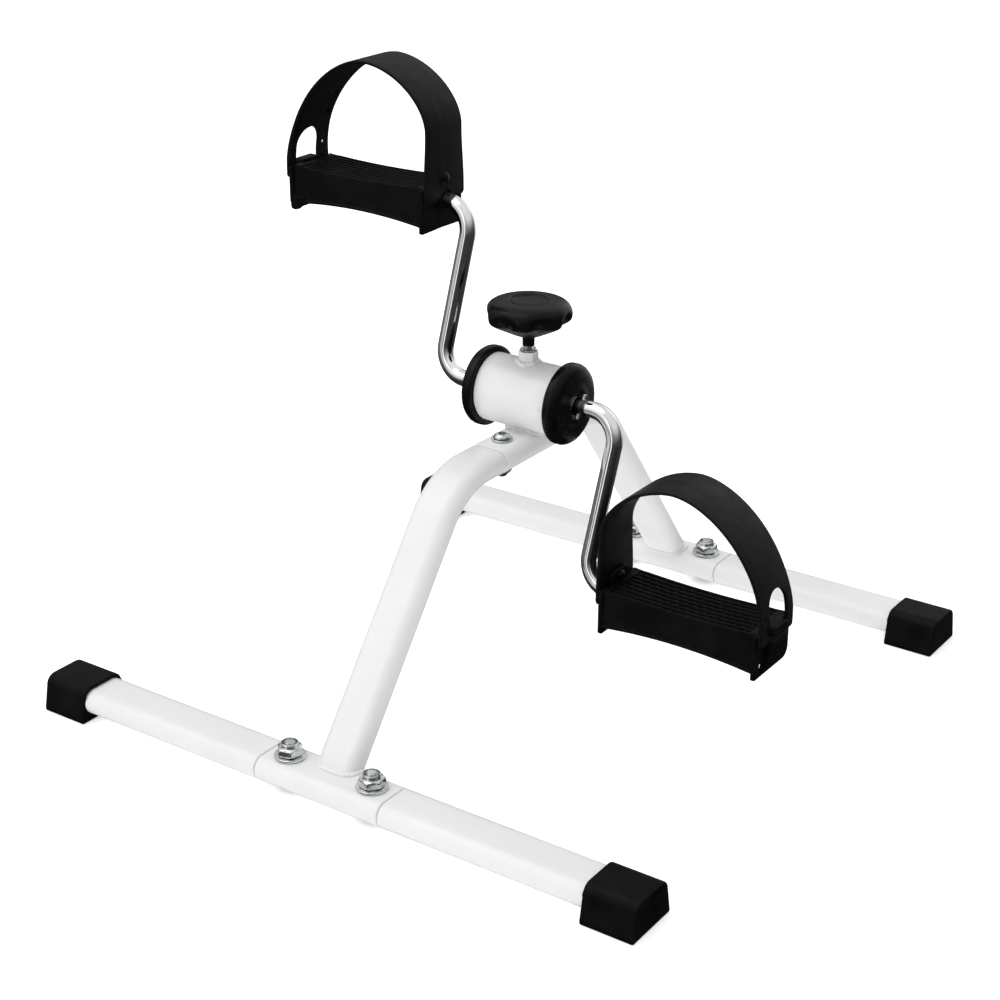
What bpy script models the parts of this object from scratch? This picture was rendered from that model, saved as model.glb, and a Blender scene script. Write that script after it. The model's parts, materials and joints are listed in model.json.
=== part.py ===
"""Pedal exerciser: a bolted tube frame, a friction-braked crank and two strapped pedals.

Metres, +Z up. The origin is on the floor, midway between the four feet. X runs along the
foot bars, -Y is the side of the front foot bar. Every touching pair keeps FIT of clearance.
"""
import math

import bmesh
import bpy
from mathutils import Matrix, Vector

# ---------------------------------------------------------------- driving dimensions
FIT = 0.0003                # clearance between pieces that touch
OVERRUN = 0.002             # how far a cutter runs past the face that it opens
THROUGH = 0.060             # length of a cutter that goes right through

BAR_SPACING = 0.357         # front bar to rear bar
BARS = (("front", -BAR_SPACING / 2, 0.400), ("rear", BAR_SPACING / 2, 0.392))
SIDES = (("left", -1), ("right", 1))
BAR_Z = 0.0116              # centre height of the foot tubes
FOOT_TUBE = (0.0300, 0.0146)  # flat oval section, width and height
FOOT_WALL = 0.0015
SLEEVE_WALL = 0.0010
SLEEVE_HALF = 0.0415        # the sleeve runs this far either side of the leg
TUBE_START = 0.0015         # X of the tube's reduced inner end
FOOT_BOLT_X = 0.028

CAP_LENGTH = 0.0313
CAP_HEIGHT = 0.0214
CAP_BASE = 0.0352           # width on the floor
CAP_SHOULDER = 0.0300       # width where the top rounding starts
CAP_SOCKET = 0.0250
CAP_CROWN = 0.0065          # radius of the top rounding
CAP_KERB = 0.0030           # upright edge at the floor

FOOT_BOLT = 0.0040          # M8
FOOT_BOLT_HOLE = 0.0043
FOOT_WASHER = (0.0088, 0.0014)   # radius and thickness
FOOT_NUT = (0.0130, 0.0046, 0.0026)  # across flats, hexagon height, collar height
JOINT_BOLT = 0.0030         # M6
JOINT_BOLT_HOLE = 0.0033
JOINT_WASHER = (0.0061, 0.0010)
JOINT_NUT = (0.0100, 0.0042, 0.0012)
NUT_COLLAR = 0.42           # collar radius over the width across flats
NUT_TURN = 0.26             # each foot nut stops at its own angle

LEG_SECTION = (0.0268, 0.0144)
LEG_WALL = 0.0015
PLUG_SECTION = (0.0238, 0.0116)
PLUG_WALL = 0.0020
PLUG_ROOT = 0.0100          # how far the plug is held inside the leg
TOP_SECTION = (0.0270, 0.0148)
TOP_WALL = 0.0012
TOP_Z = 0.1500              # centre height of the top tube
LEG_BEND = 0.045
FRONT_LEG_FOOT = -0.1745     # Y where the leg axis crosses LEG_FOOT_Z
REAR_LEG_FOOT = 0.1795
LEG_FOOT_Z = 0.012
FRONT_KNEE = -0.0705        # Y of the corner of the leg axis
REAR_KNEE = 0.0745
JOINT_Y = -0.0325           # front end of the top tube
PLUG_LENGTH = 0.034
JOINT_BOLT_Y = -0.0185

AXLE_Y = 0.0075             # crank axis
AXLE_Z = 0.177
HOUSING_RADIUS = 0.0200
HOUSING_WALL = 0.0020
HOUSING_HALF = 0.0242
END_CAP_RADIUS = 0.0236
END_CAP_RIM = 0.0315        # X of the outer edge of the rim
END_CAP_FACE = 0.0338       # X of the hub face
SPIGOT_END = 0.0140
END_CAP_HUB = 0.0105        # radius of the flat hub face
BUSH_RADIUS = 0.0077
BUSH_FLANGE = 0.0098
BUSH_END = 0.0301           # X of the bush's outer end
DRUM_RADIUS = 0.0080
DRUM_HALF = 0.0105

ROD_RADIUS = 0.00475
CRANK_THROW = 0.100
CRANK_ANGLE = math.radians(-101.5)  # right arm, in the YZ plane, from +Y
ARM_HUB_X = 0.0620          # X of the arm's corner at the hub; the arm leans in
ARM_PEDAL_X = 0.0525        # X of its corner at the pedal
ROD_BEND = 0.0165
ROD_END = 0.157
PIN_LENGTH = 0.0150
RETAINING_PIN = (0.0358, 0.0014, math.radians(56))  # X outside the end cap, radius, angle from +Y
DRUM_PIN = (0.0060, 0.0015, math.radians(90))

PEDAL_INNER = 0.0745        # X of the pedal's inner wall
PEDAL_OUTER = 0.1735
PEDAL_HALF = 0.0195         # half width, fore and aft
TREAD_END = 0.0092          # tread height over the spindle, at the walls
TREAD_DIP = 0.0018          # how far the tread is dished
FOOT_DEPTH = 0.0170         # wall feet below the spindle
SKIRT_DEPTH = 0.0135
SKIRT_RISE = 0.0035         # arch of the skirt's lower edge
BARREL_RADIUS = 0.0085
BARREL_DROP = 0.0015         # barrel axis below the spindle
PEDAL_WALL = 0.0030          # end walls
PEDAL_SKIRT = 0.0023
PEDAL_EDGE = 0.0012          # bevel along the pedal's corners
LUG = (0.0026, 0.0180, 0.0140)      # carries the strap's stud
LUG_Z = 0.0100
HOOK = (0.0055, 0.0160, 0.0050)     # holds the outer end of the strap
HOOK_Z = 0.0088
RIB_COUNT = 9
RIB_PITCH = 0.0042
RIB_WIDTH = 0.0014
RIB_HEIGHT = 0.0009
RIB_MARGIN = 0.0060          # plain band at each end of the tread
BARREL_END = 0.148
RETAINER_RADIUS = 0.0060
STUD_Z = 0.0128
STUD_RADIUS = 0.0016

STRAP_THICKNESS = 0.0020
STRAP_TOP_HALF = 0.0170     # half width over the foot
STRAP_END_HALF = 0.0190     # half width at the ends
STRAP_CROWN = (0.1175, 0.0780)
STRAP_INNER_FOOT = 0.0005   # heights over the spindle
STRAP_INNER_RISE = 0.0420   # top of the straight inner leg
STRAP_OUTER_RISE = 0.0120
STRAP_OUTER_FOOT = 0.0022
STRAP_INNER_SHOULDER = 1.12
STRAP_OUTER_SHOULDER = 1.12
D_HOLE_HALF = 0.0102         # the D-shaped hole, flat side down
D_HOLE_FLOOR = 0.0060
D_HOLE_SPRING = 0.0190       # where its round top starts
D_HOLE_Y = 0.0015
SPINDLE_NOTCH = 0.0070
SPARE_HOLE = (-0.0135, 0.0180, 0.0016)  # Y, Z and radius

SCREW_RADIUS = 0.0030       # M6
SHANK_RADIUS = 0.0025
BOSS_ACROSS_FLATS = 0.0100
BOSS_TOP = 0.2036
INSERT_RADIUS = 0.0042
INSERT_DEPTH = 0.0055
INSERT_HOLE = 0.0046        # in the housing
LINING_GAP = 0.0005         # brake lining to drum, with the knob slack
LINING = 0.0020
LINING_ANGLE = math.radians(40)
SHOE_HALF = 0.0070
SHOE_TOP = 0.0125           # over the crank axis
SHOE_POCKET = 0.0008        # the screw's tip sits in it
KNOB_TOP = 0.2337
KNOB_SIDE = (               # radius, depth of the finger hollows, height
    (0.0080, 0.0003, 0.2135),
    (0.0148, 0.0012, 0.2168),
    (0.0206, 0.0026, 0.2197),
    (0.0236, 0.0034, 0.2216),
    (0.0247, 0.0030, 0.2240),
    (0.0248, 0.0018, 0.2268),
    (0.0238, 0.0006, 0.2298),
    (0.0215, 0.0, 0.2318),
    (0.0175, 0.0, 0.2330),
)
KNOB_FACE = 0.0130           # radius of the flat top
KNOB_LOBES = 7
KNOB_FLUTE_ANGLE = math.radians(-39.8)
KNOB_CAP_RADIUS = 0.0102
KNOB_RECESS = 0.0012
NECK_RADIUS = 0.0035
NECK_BOTTOM = 0.2068
SHANK_TOP = 0.2235          # top of the screw, inside the knob

WHITE = ("powder_coat_white", (0.86, 0.87, 0.88), 0.32, 0.0)
BLACK = ("moulded_black", (0.022, 0.022, 0.024), 0.48, 0.0)
STRAP_BLACK = ("strap_black", (0.030, 0.030, 0.032), 0.55, 0.0)
CAP_BLACK = ("foot_cap_black", (0.020, 0.020, 0.022), 0.60, 0.0)
CHROME = ("chrome_rod", (0.80, 0.80, 0.82), 0.08, 1.0)
ZINC = ("zinc_fastener", (0.68, 0.70, 0.71), 0.28, 1.0)
NYLON = ("nylon_natural", (0.80, 0.78, 0.70), 0.45, 0.0)
FELT = ("brake_felt", (0.32, 0.30, 0.27), 0.95, 0.0)
STEEL = ("plain_steel", (0.55, 0.55, 0.56), 0.35, 1.0)

# ---------------------------------------------------------------- scene helpers


def clear_scene():
    for item in list(bpy.data.objects):
        bpy.data.objects.remove(item, do_unlink=True)


def new_collection(name):
    group = bpy.data.collections.new(name)
    bpy.context.scene.collection.children.link(group)
    return group


clear_scene()
PARTS = new_collection("pedal_exerciser")
CUTTERS = new_collection("cutters")


def material(finish):
    name, colour, roughness, metallic = finish
    if name in bpy.data.materials:
        return bpy.data.materials[name]
    made = bpy.data.materials.new(name)
    made.use_nodes = True
    shader = made.node_tree.nodes["Principled BSDF"]
    shader.inputs["Base Color"].default_value = (*colour, 1.0)
    shader.inputs["Roughness"].default_value = roughness
    shader.inputs["Metallic"].default_value = metallic
    return made


def move_to(item, group):
    for owner in list(item.users_collection):
        owner.objects.unlink(item)
    group.objects.link(item)


def part(item, name, finish):
    """Make an object one of the exerciser's pieces."""
    item.name = name
    item.data.name = name
    item.data.materials.clear()
    item.data.materials.append(material(finish))
    move_to(item, PARTS)
    return item


def cutter(item):
    """Keep an object only as the tool of a Boolean."""
    item.hide_render = True
    item.display_type = "WIRE"
    move_to(item, CUTTERS)
    return item


def boolean(target, tool, operation):
    cutter(tool)
    step = target.modifiers.new(operation.lower(), "BOOLEAN")
    step.operation = operation
    step.object = tool
    return target


def cut(target, tool):
    return boolean(target, tool, "DIFFERENCE")


def join(target, tool):
    return boolean(target, tool, "UNION")


def bevel(item, width, segments=2, angle=math.radians(40)):
    step = item.modifiers.new("edges", "BEVEL")
    step.width = width
    step.segments = segments
    step.limit_method = "ANGLE"
    step.angle_limit = angle
    return item


def smooth(item, angle=math.radians(35)):
    item.data.shade_smooth()
    item.data.set_sharp_from_angle(angle=angle)
    return item


def frozen(item):
    """Replace an object by the mesh that its curve or modifiers give."""
    bpy.context.view_layer.update()
    graph = bpy.context.evaluated_depsgraph_get()
    mesh = bpy.data.meshes.new_from_object(item.evaluated_get(graph))
    made = bmesh.new()
    made.from_mesh(mesh)
    bmesh.ops.remove_doubles(made, verts=made.verts, dist=0.000002)
    made.to_mesh(mesh)
    made.free()
    solid = bpy.data.objects.new(item.name, mesh)
    solid.matrix_world = item.matrix_world.copy()
    CUTTERS.objects.link(solid)
    bpy.data.objects.remove(item, do_unlink=True)
    return solid


def set_origin(item, origin):
    """Move an object's origin without moving its shape."""
    item.data.transform(Matrix.Translation(item.location - Vector(origin)))
    item.location = origin
    return item


def copy_of(item, name, finish, location, turn=(0, 0, 0)):
    """A further piece that shares a finished piece's mesh."""
    twin = bpy.data.objects.new(name, item.data)
    twin.location = location
    twin.rotation_euler = turn
    twin.data.materials.clear()
    twin.data.materials.append(material(finish))
    PARTS.objects.link(twin)
    return twin


# ---------------------------------------------------------------- shape helpers

ALONG = {"X": (0, math.pi / 2, 0), "Y": (-math.pi / 2, 0, 0), "Z": (0, 0, 0)}


def cylinder(radius, depth, centre, axis="Z", sides=32, turn=None):
    bpy.ops.mesh.primitive_cylinder_add(vertices=sides, radius=radius, depth=depth,
                                        location=centre, rotation=turn or ALONG[axis])
    return bpy.context.object


def box(size, centre):
    bpy.ops.mesh.primitive_cube_add(size=1, location=centre)
    block = bpy.context.object
    block.data.transform(Matrix.Diagonal((*size, 1)))
    return block


def turned(profile, centre, turn=(0, 0, 0), steps=32):
    """Spin a (radius, height) profile, listed top to bottom on its outer side.

    A profile that starts and ends on the axis stays open there; any other is closed.
    """
    mesh = bpy.data.meshes.new("profile")
    points = [(radius, 0, height) for radius, height in profile]
    edges = [(i, i + 1) for i in range(len(points) - 1)]
    if profile[0][0] > 0 or profile[-1][0] > 0:
        edges.append((len(points) - 1, 0))
    mesh.from_pydata(points, edges, [])
    item = bpy.data.objects.new("turned", mesh)
    item.location = centre
    item.rotation_euler = turn
    CUTTERS.objects.link(item)
    screw = item.modifiers.new("turn", "SCREW")
    screw.steps = steps
    screw.render_steps = steps
    screw.use_merge_vertices = True
    screw.merge_threshold = 0.00001
    screw.use_smooth_shade = False
    return frozen(item)


def arc(centre, radius, start, end, count):
    """Points on an arc, angles in degrees."""
    angles = [math.radians(start + (end - start) * i / count) for i in range(count + 1)]
    return [(centre[0] + radius * math.cos(a), centre[1] + radius * math.sin(a)) for a in angles]


def oval(width, height, count=7):
    """A flat oval outline: two half circles joined by flats."""
    radius = height / 2
    side = width / 2 - radius
    return arc((side, 0), radius, -90, 90, count) + arc((-side, 0), radius, 90, 270, count)


def outline_curve(points, closed=True):
    data = bpy.data.curves.new("outline", "CURVE")
    data.dimensions = "2D"
    line = data.splines.new("POLY")
    line.points.add(len(points) - 1)
    for point, (x, y) in zip(line.points, points):
        point.co = (x, y, 0, 1)
    line.use_cyclic_u = closed
    item = bpy.data.objects.new("outline", data)
    CUTTERS.objects.link(item)
    return item


def slab(points, thickness, centre, turn=(0, 0, 0)):
    """A flat outline given a thickness, centred on its plane."""
    item = outline_curve(points)
    item.data.fill_mode = "BOTH"
    item.data.extrude = thickness / 2
    item.location = centre
    item.rotation_euler = turn
    return frozen(item)


# local x, y, z of an outline to world Y, Z, X; to X, Z, -Y; and to X, Y, Z
FACING_X = (math.pi / 2, 0, math.pi / 2)
FACING_Y = (math.pi / 2, 0, 0)


def rounded_path(corners, radius, count=8):
    """A polyline through the corners, with each inner corner turned into an arc."""
    path = [Vector(corners[0])]
    for before, corner, after in zip(corners, corners[1:], corners[2:]):
        corner = Vector(corner)
        back = (Vector(before) - corner).normalized()
        ahead = (Vector(after) - corner).normalized()
        half = back.angle(ahead) / 2
        middle = corner + (back + ahead).normalized() * radius / math.sin(half)
        first = (corner + back * radius / math.tan(half)) - middle
        swing = math.pi - 2 * half
        axis = first.cross(-back)
        for i in range(count + 1):
            path.append(middle + Matrix.Rotation(swing * i / count, 3, axis) @ first)
    path.append(Vector(corners[-1]))
    return path


def path_curve(path):
    data = bpy.data.curves.new("path", "CURVE")
    data.dimensions = "3D"
    data.fill_mode = "FULL"
    line = data.splines.new("POLY")
    line.points.add(len(path) - 1)
    for point, place in zip(line.points, path):
        point.co = (*place, 1)
    item = bpy.data.objects.new("path", data)
    CUTTERS.objects.link(item)
    return item


def swept_oval(path, section, capped=False):
    """A flat oval swept along a path that lies in a plane of constant X."""
    profile = outline_curve(oval(*section)[::-1])
    item = path_curve(path)
    item.data.bevel_mode = "OBJECT"
    item.data.bevel_object = profile
    item.data.use_fill_caps = capped
    item.data.twist_mode = "MINIMUM"
    solid = frozen(item)
    bpy.data.objects.remove(profile, do_unlink=True)
    return solid


def oval_tube(path, section, wall):
    """A hollow flat oval tube, open at both ends."""
    tube = swept_oval(path, section)
    shell = tube.modifiers.new("wall", "SOLIDIFY")
    shell.thickness = wall
    shell.offset = -1
    shell.use_even_offset = True
    shell.use_rim = True
    return tube


# ---------------------------------------------------------------- foot bars


def tube_section(grow):
    """The foot tube's section, made larger by the same amount all round."""
    return (FOOT_TUBE[0] + 2 * grow, FOOT_TUBE[1] + 2 * grow)


def straight_tube(section, wall, start, end, y):
    """A hollow oval tube along X at foot bar height."""
    length = abs(end - start)
    middle = ((start + end) / 2, y, BAR_Z)
    tube = slab(oval(*section), length, middle, FACING_X)
    bore = slab(oval(section[0] - 2 * wall, section[1] - 2 * wall), length + 2 * OVERRUN,
                middle, FACING_X)
    return cut(tube, bore)


def foot_bolt_hole(x, y):
    return cylinder(FOOT_BOLT_HOLE, THROUGH, (x, y, BAR_Z), sides=12)


def foot_bar(end, y, length):
    """Sleeve, two foot tubes and two end caps of one foot bar."""
    sleeve = straight_tube(FOOT_TUBE, SLEEVE_WALL, -SLEEVE_HALF, SLEEVE_HALF, y)
    for x in (-FOOT_BOLT_X, FOOT_BOLT_X):
        cut(sleeve, foot_bolt_hole(x, y))
    part(smooth(frozen(sleeve)), f"{end}_sleeve", WHITE)
    for side, sign in SIDES:
        foot_tube(f"{end}_foot_tube_{side}", sign, y, length)
        foot_cap(f"{end}_foot_cap_{side}", sign, y, length)


def foot_tube(name, sign, y, length):
    """Flush with the sleeve, with a reduced end that slides into it."""
    shoulder = sign * (SLEEVE_HALF + FIT)
    outer = sign * (length / 2 - CAP_LENGTH + CAP_SOCKET - FIT)
    tube = frozen(straight_tube(FOOT_TUBE, FOOT_WALL, shoulder, outer, y))
    root = shoulder + sign * PLUG_ROOT
    plug_section = tube_section(-FIT - SLEEVE_WALL)
    plug = straight_tube(plug_section, FOOT_WALL, sign * TUBE_START, root, y)
    join(tube, frozen(plug))
    cut(tube, foot_bolt_hole(sign * FOOT_BOLT_X, y))
    part(smooth(frozen(tube)), name, WHITE)


def foot_cap(name, sign, y, length):
    """A loaf-shaped plastic shoe, closed at its outer end, with a socket for the tube."""
    base = CAP_BASE / 2
    centre = CAP_SHOULDER / 2 - CAP_CROWN
    outline = [(-base, 0), (base, 0), (base, CAP_KERB)]
    outline += arc((centre, CAP_HEIGHT - CAP_CROWN), CAP_CROWN, 8, 90, 6)
    outline += arc((-centre, CAP_HEIGHT - CAP_CROWN), CAP_CROWN, 90, 172, 6)
    outline += [(-base, CAP_KERB)]
    middle = sign * (length - CAP_LENGTH) / 2
    cap = slab(outline, CAP_LENGTH, (middle, y, 0), FACING_X)
    bevel(cap, 0.0012, 2, math.radians(60))
    mouth = sign * (length / 2 - CAP_LENGTH - OVERRUN)
    depth = CAP_SOCKET + OVERRUN
    socket = slab(oval(*tube_section(FIT)), depth, (mouth + sign * depth / 2, y, BAR_Z), FACING_X)
    cut(cap, socket)
    part(smooth(frozen(cap)), name, CAP_BLACK)


# ---------------------------------------------------------------- fasteners


def washer(radius, bore, thickness):
    return smooth(turned([(radius, thickness), (radius, 0), (bore, 0), (bore, thickness)],
                         (0, 0, 0), steps=16))


def lock_nut(across_flats, height, collar, bore):
    """A hexagon with a round collar on top; its seat is at local Z 0."""
    nut = cylinder(across_flats / math.sqrt(3), height, (0, 0, height / 2), sides=6)
    root = height / 2
    top = height + collar
    join(nut, cylinder(across_flats * NUT_COLLAR, top - root, (0, 0, (root + top) / 2), sides=16))
    cut(nut, cylinder(bore, THROUGH, (0, 0, 0), sides=12))
    return smooth(set_origin(frozen(nut), (0, 0, 0)))


def bolt(radius, length, head_radius, head_height):
    """A round-headed bolt; its head seats at local Z 0 and its shank runs up."""
    profile = [(0, length), (radius - 0.0006, length), (radius, length - 0.0006), (radius, 0)]
    profile += [(head_radius, 0), (head_radius * 0.7, -head_height), (0, -head_height)]
    return smooth(turned(profile, (0, 0, 0), steps=14))


def foot_fasteners():
    """One bolt, washer and lock nut clamp each foot tube in its sleeve."""
    top = BAR_Z + FOOT_TUBE[1] / 2 + FIT
    bottom = BAR_Z - FOOT_TUBE[1] / 2 - FIT
    washer_radius, plate = FOOT_WASHER
    grip = top - bottom + plate
    bolt_end = sum(FOOT_NUT[1:]) + 2 * FIT
    stud = bolt(FOOT_BOLT, grip + bolt_end, 0.0080, 0.0017)
    ring = washer(washer_radius, FOOT_BOLT_HOLE, plate)
    nut = lock_nut(*FOOT_NUT, FOOT_BOLT_HOLE)
    for end, y, _ in BARS:
        for side, sign in SIDES:
            x = sign * FOOT_BOLT_X
            copy_of(stud, f"{end}_bolt_{side}", ZINC, (x, y, bottom))
            copy_of(ring, f"{end}_washer_{side}", ZINC, (x, y, top))
            copy_of(nut, f"{end}_nut_{side}", ZINC, (x, y, top + plate + FIT), (0, 0, sign * NUT_TURN))
    for master in (stud, ring, nut):
        bpy.data.objects.remove(master, do_unlink=True)


def joint_fasteners():
    """The bolt that holds the front leg's plug in the top tube."""
    top = TOP_Z + TOP_SECTION[1] / 2 + FIT
    bottom = TOP_Z - TOP_SECTION[1] / 2 - FIT
    washer_radius, plate = JOINT_WASHER
    ring = washer(washer_radius, JOINT_BOLT_HOLE, plate)
    copy_of(ring, "joint_washer", ZINC, (0, JOINT_BOLT_Y, top))
    bolt_end = sum(JOINT_NUT[1:]) + 0.0015
    head = bolt(JOINT_BOLT, top - bottom + plate + bolt_end, 0.0050, 0.0024)
    copy_of(head, "joint_bolt", ZINC, (0, JOINT_BOLT_Y, top + plate + FIT), (math.pi, 0, 0))
    nut = lock_nut(*JOINT_NUT, JOINT_BOLT_HOLE)
    copy_of(nut, "joint_nut", ZINC, (0, JOINT_BOLT_Y, bottom), (math.pi, 0, 0))
    for master in (ring, head, nut):
        bpy.data.objects.remove(master, do_unlink=True)


# ---------------------------------------------------------------- frame


def sleeve_clearance(y):
    """A cutter that ends a leg against its sleeve."""
    return slab(oval(*tube_section(FIT)), THROUGH, (0, y, BAR_Z), FACING_X)


def joint_hole():
    return cylinder(JOINT_BOLT_HOLE, THROUGH, (0, JOINT_BOLT_Y, TOP_Z), sides=20)


def housing_cutter(radius):
    return cylinder(radius, THROUGH, axle_point(0), "X", 48)


def front_leg():
    """The bent front leg, with a reduced end that plugs into the top tube."""
    shoulder = JOINT_Y - FIT
    path = rounded_path([(0, FRONT_LEG_FOOT, LEG_FOOT_Z), (0, FRONT_KNEE, TOP_Z), (0, shoulder, TOP_Z)],
                        LEG_BEND)
    leg = frozen(oval_tube(path, LEG_SECTION, LEG_WALL))
    plug_middle = (0, shoulder + (PLUG_LENGTH - PLUG_ROOT) / 2, TOP_Z)
    plug = slab(oval(*PLUG_SECTION), PLUG_LENGTH + PLUG_ROOT, plug_middle, FACING_Y)
    bore_section = (PLUG_SECTION[0] - 2 * PLUG_WALL, PLUG_SECTION[1] - 2 * PLUG_WALL)
    bore = slab(oval(*bore_section), PLUG_LENGTH + PLUG_ROOT + 2 * OVERRUN, plug_middle, FACING_Y)
    join(leg, frozen(cut(plug, bore)))
    cut(leg, joint_hole())
    cut(leg, sleeve_clearance(-BAR_SPACING / 2))
    part(smooth(frozen(leg)), "front_leg", WHITE)


def top_tube():
    """The top tube and the rear leg are one bent tube under the crank housing."""
    path = rounded_path([(0, JOINT_Y, TOP_Z), (0, REAR_KNEE, TOP_Z), (0, REAR_LEG_FOOT, LEG_FOOT_Z)],
                        LEG_BEND)
    tube = frozen(oval_tube(path, TOP_SECTION, TOP_WALL))
    cut(tube, joint_hole())
    cut(tube, housing_cutter(HOUSING_RADIUS + FIT))
    cut(tube, sleeve_clearance(BAR_SPACING / 2))
    part(smooth(frozen(tube)), "top_tube", WHITE)


# ---------------------------------------------------------------- crank housing


def axle_point(x, up=0.0):
    return (x, AXLE_Y, AXLE_Z + up)


def housing_shell():
    shell = cylinder(HOUSING_RADIUS, 2 * HOUSING_HALF, axle_point(0), "X", 48)
    cut(shell, housing_cutter(HOUSING_RADIUS - HOUSING_WALL))
    cut(shell, cylinder(INSERT_HOLE, HOUSING_RADIUS, axle_point(0, HOUSING_RADIUS), sides=12))
    part(smooth(frozen(shell)), "housing_shell", WHITE)


def tension_boss():
    """A hexagon welded on the housing, cut to sit on its round top."""
    bottom = AXLE_Z + HOUSING_RADIUS - OVERRUN
    height = BOSS_TOP - bottom
    boss = cylinder(BOSS_ACROSS_FLATS / math.sqrt(3), height,
                    (0, AXLE_Y, bottom + height / 2), sides=6)
    cut(boss, cylinder(INSERT_RADIUS + FIT, THROUGH / 2, (0, AXLE_Y, BOSS_TOP), sides=24))
    cut(boss, housing_cutter(HOUSING_RADIUS + FIT))
    part(smooth(frozen(boss)), "tension_boss", WHITE)


def thread_insert():
    """The steel thread pressed into the boss; its flange shows as a bright ring."""
    flange = INSERT_RADIUS + 0.0005
    top = FIT + 0.0012
    bore = SCREW_RADIUS + FIT
    profile = [(flange, top), (flange, FIT), (INSERT_RADIUS, FIT), (INSERT_RADIUS, -INSERT_DEPTH)]
    profile += [(bore, -INSERT_DEPTH), (bore, top)]
    insert = turned(profile, (0, AXLE_Y, BOSS_TOP), steps=28)
    part(smooth(insert), "thread_insert", ZINC)


def end_cap(side, sign):
    """A domed plastic cap with a spigot inside the housing and a seat for the bush."""
    rim_inner = HOUSING_HALF + FIT
    spigot = HOUSING_RADIUS - HOUSING_WALL - FIT
    seat = BUSH_RADIUS + FIT
    hole = ROD_RADIUS + 2 * FIT
    profile = [(hole, END_CAP_FACE), (END_CAP_HUB, END_CAP_FACE), (0.0180, END_CAP_RIM + 0.0010)]
    profile += [(END_CAP_RADIUS - 0.0006, END_CAP_RIM - 0.0006), (END_CAP_RADIUS, END_CAP_RIM - 0.0018)]
    profile += [(END_CAP_RADIUS, rim_inner), (spigot, rim_inner), (spigot, SPIGOT_END)]
    profile += [(seat, SPIGOT_END), (seat, BUSH_END + FIT), (hole, BUSH_END + FIT)]
    cap = turned(profile, axle_point(0), (0, sign * math.pi / 2, 0), steps=30)
    part(smooth(cap), f"end_cap_{side}", BLACK)


def bush(side, sign):
    """A nylon bearing between the end cap and the crank rod."""
    inner = ROD_RADIUS + FIT
    start = DRUM_HALF + FIT
    step = SPIGOT_END - FIT
    profile = [(BUSH_RADIUS, BUSH_END), (BUSH_RADIUS, step), (BUSH_FLANGE, step), (BUSH_FLANGE, start)]
    profile += [(inner, start), (inner, BUSH_END)]
    ring = turned(profile, axle_point(0), (0, sign * math.pi / 2, 0), steps=24)
    part(smooth(ring), f"bush_{side}", NYLON)


def brake():
    """The shoe and its felt lining, which the tension screw presses on the drum."""
    inner = DRUM_RADIUS + LINING_GAP
    outer = inner + LINING
    swing = math.degrees(LINING_ANGLE)
    outline = arc((0, 0), outer, 90 - swing, 90 + swing, 10)
    outline += arc((0, 0), inner, 90 + swing, 90 - swing, 10)
    lining = slab(outline, 2 * SHOE_HALF, axle_point(0), FACING_X)
    part(smooth(lining), "brake_lining", FELT)
    height = 0.008
    shoe = box((2 * SHOE_HALF, 2 * SHOE_HALF, height), axle_point(0, SHOE_TOP - height / 2))
    cut(shoe, housing_cutter(outer + FIT))
    cut(shoe, cylinder(SCREW_RADIUS + 2 * FIT, 2 * SHOE_POCKET, axle_point(0, SHOE_TOP), sides=24))
    part(smooth(frozen(shoe)), "brake_shoe", NYLON)


# ---------------------------------------------------------------- crank


def crank_direction(sign):
    """Unit vector from the crank axis to a spindle; the arms are opposite."""
    return sign * Vector((0, math.cos(CRANK_ANGLE), math.sin(CRANK_ANGLE)))


def spindle(sign):
    return Vector(axle_point(0)) + CRANK_THROW * crank_direction(sign)


def pin_shape(sign, place, length, grow=0.0):
    """A cylinder across the crank rod, at a pin's place."""
    x, radius, angle = place
    return cylinder(radius + grow, length, axle_point(sign * x), sides=16,
                    turn=(angle - math.pi / 2, 0, 0))


def crank_rod(side, sign):
    """One chromed rod: through the housing, down the arm and out through the pedal."""
    foot = spindle(sign)
    path = rounded_path([axle_point(sign * 2 * FIT), axle_point(sign * ARM_HUB_X),
                         (sign * ARM_PEDAL_X, foot.y, foot.z), (sign * ROD_END, foot.y, foot.z)],
                        ROD_BEND, 9)
    rod = path_curve(path)
    rod.data.bevel_depth = ROD_RADIUS
    rod.data.bevel_resolution = 4
    rod.data.use_fill_caps = True
    rod = frozen(rod)
    for name, place in (("retaining_pin", RETAINING_PIN), ("drum_pin", DRUM_PIN)):
        cut(rod, pin_shape(sign, place, THROUGH / 2, FIT))
        part(smooth(pin_shape(sign, place, PIN_LENGTH)), f"{name}_{side}", STEEL)
    part(smooth(set_origin(frozen(rod), axle_point(0))), f"crank_{side}", CHROME)


def friction_drum():
    """The sleeve that joins the two crank rods and carries the brake."""
    bore = ROD_RADIUS + FIT
    profile = [(DRUM_RADIUS, DRUM_HALF), (DRUM_RADIUS, -DRUM_HALF), (bore, -DRUM_HALF), (bore, DRUM_HALF)]
    drum = turned(profile, axle_point(0), (0, math.pi / 2, 0), steps=32)
    for _, sign in SIDES:
        cut(drum, pin_shape(sign, DRUM_PIN, THROUGH / 2, FIT))
    part(smooth(frozen(drum)), "friction_drum", STEEL)


# ---------------------------------------------------------------- knob


def lobed_ring(radius, flute, height, count):
    """One ring of the knob: a circle with a smooth hollow between each pair of lobes."""
    ring = []
    for i in range(count):
        angle = 2 * math.pi * i / count
        wave = 0.5 + 0.5 * math.cos(KNOB_LOBES * (angle - KNOB_FLUTE_ANGLE))
        reach = radius - flute * wave ** 1.6
        ring.append((reach * math.cos(angle), reach * math.sin(angle), height))
    return ring


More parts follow.
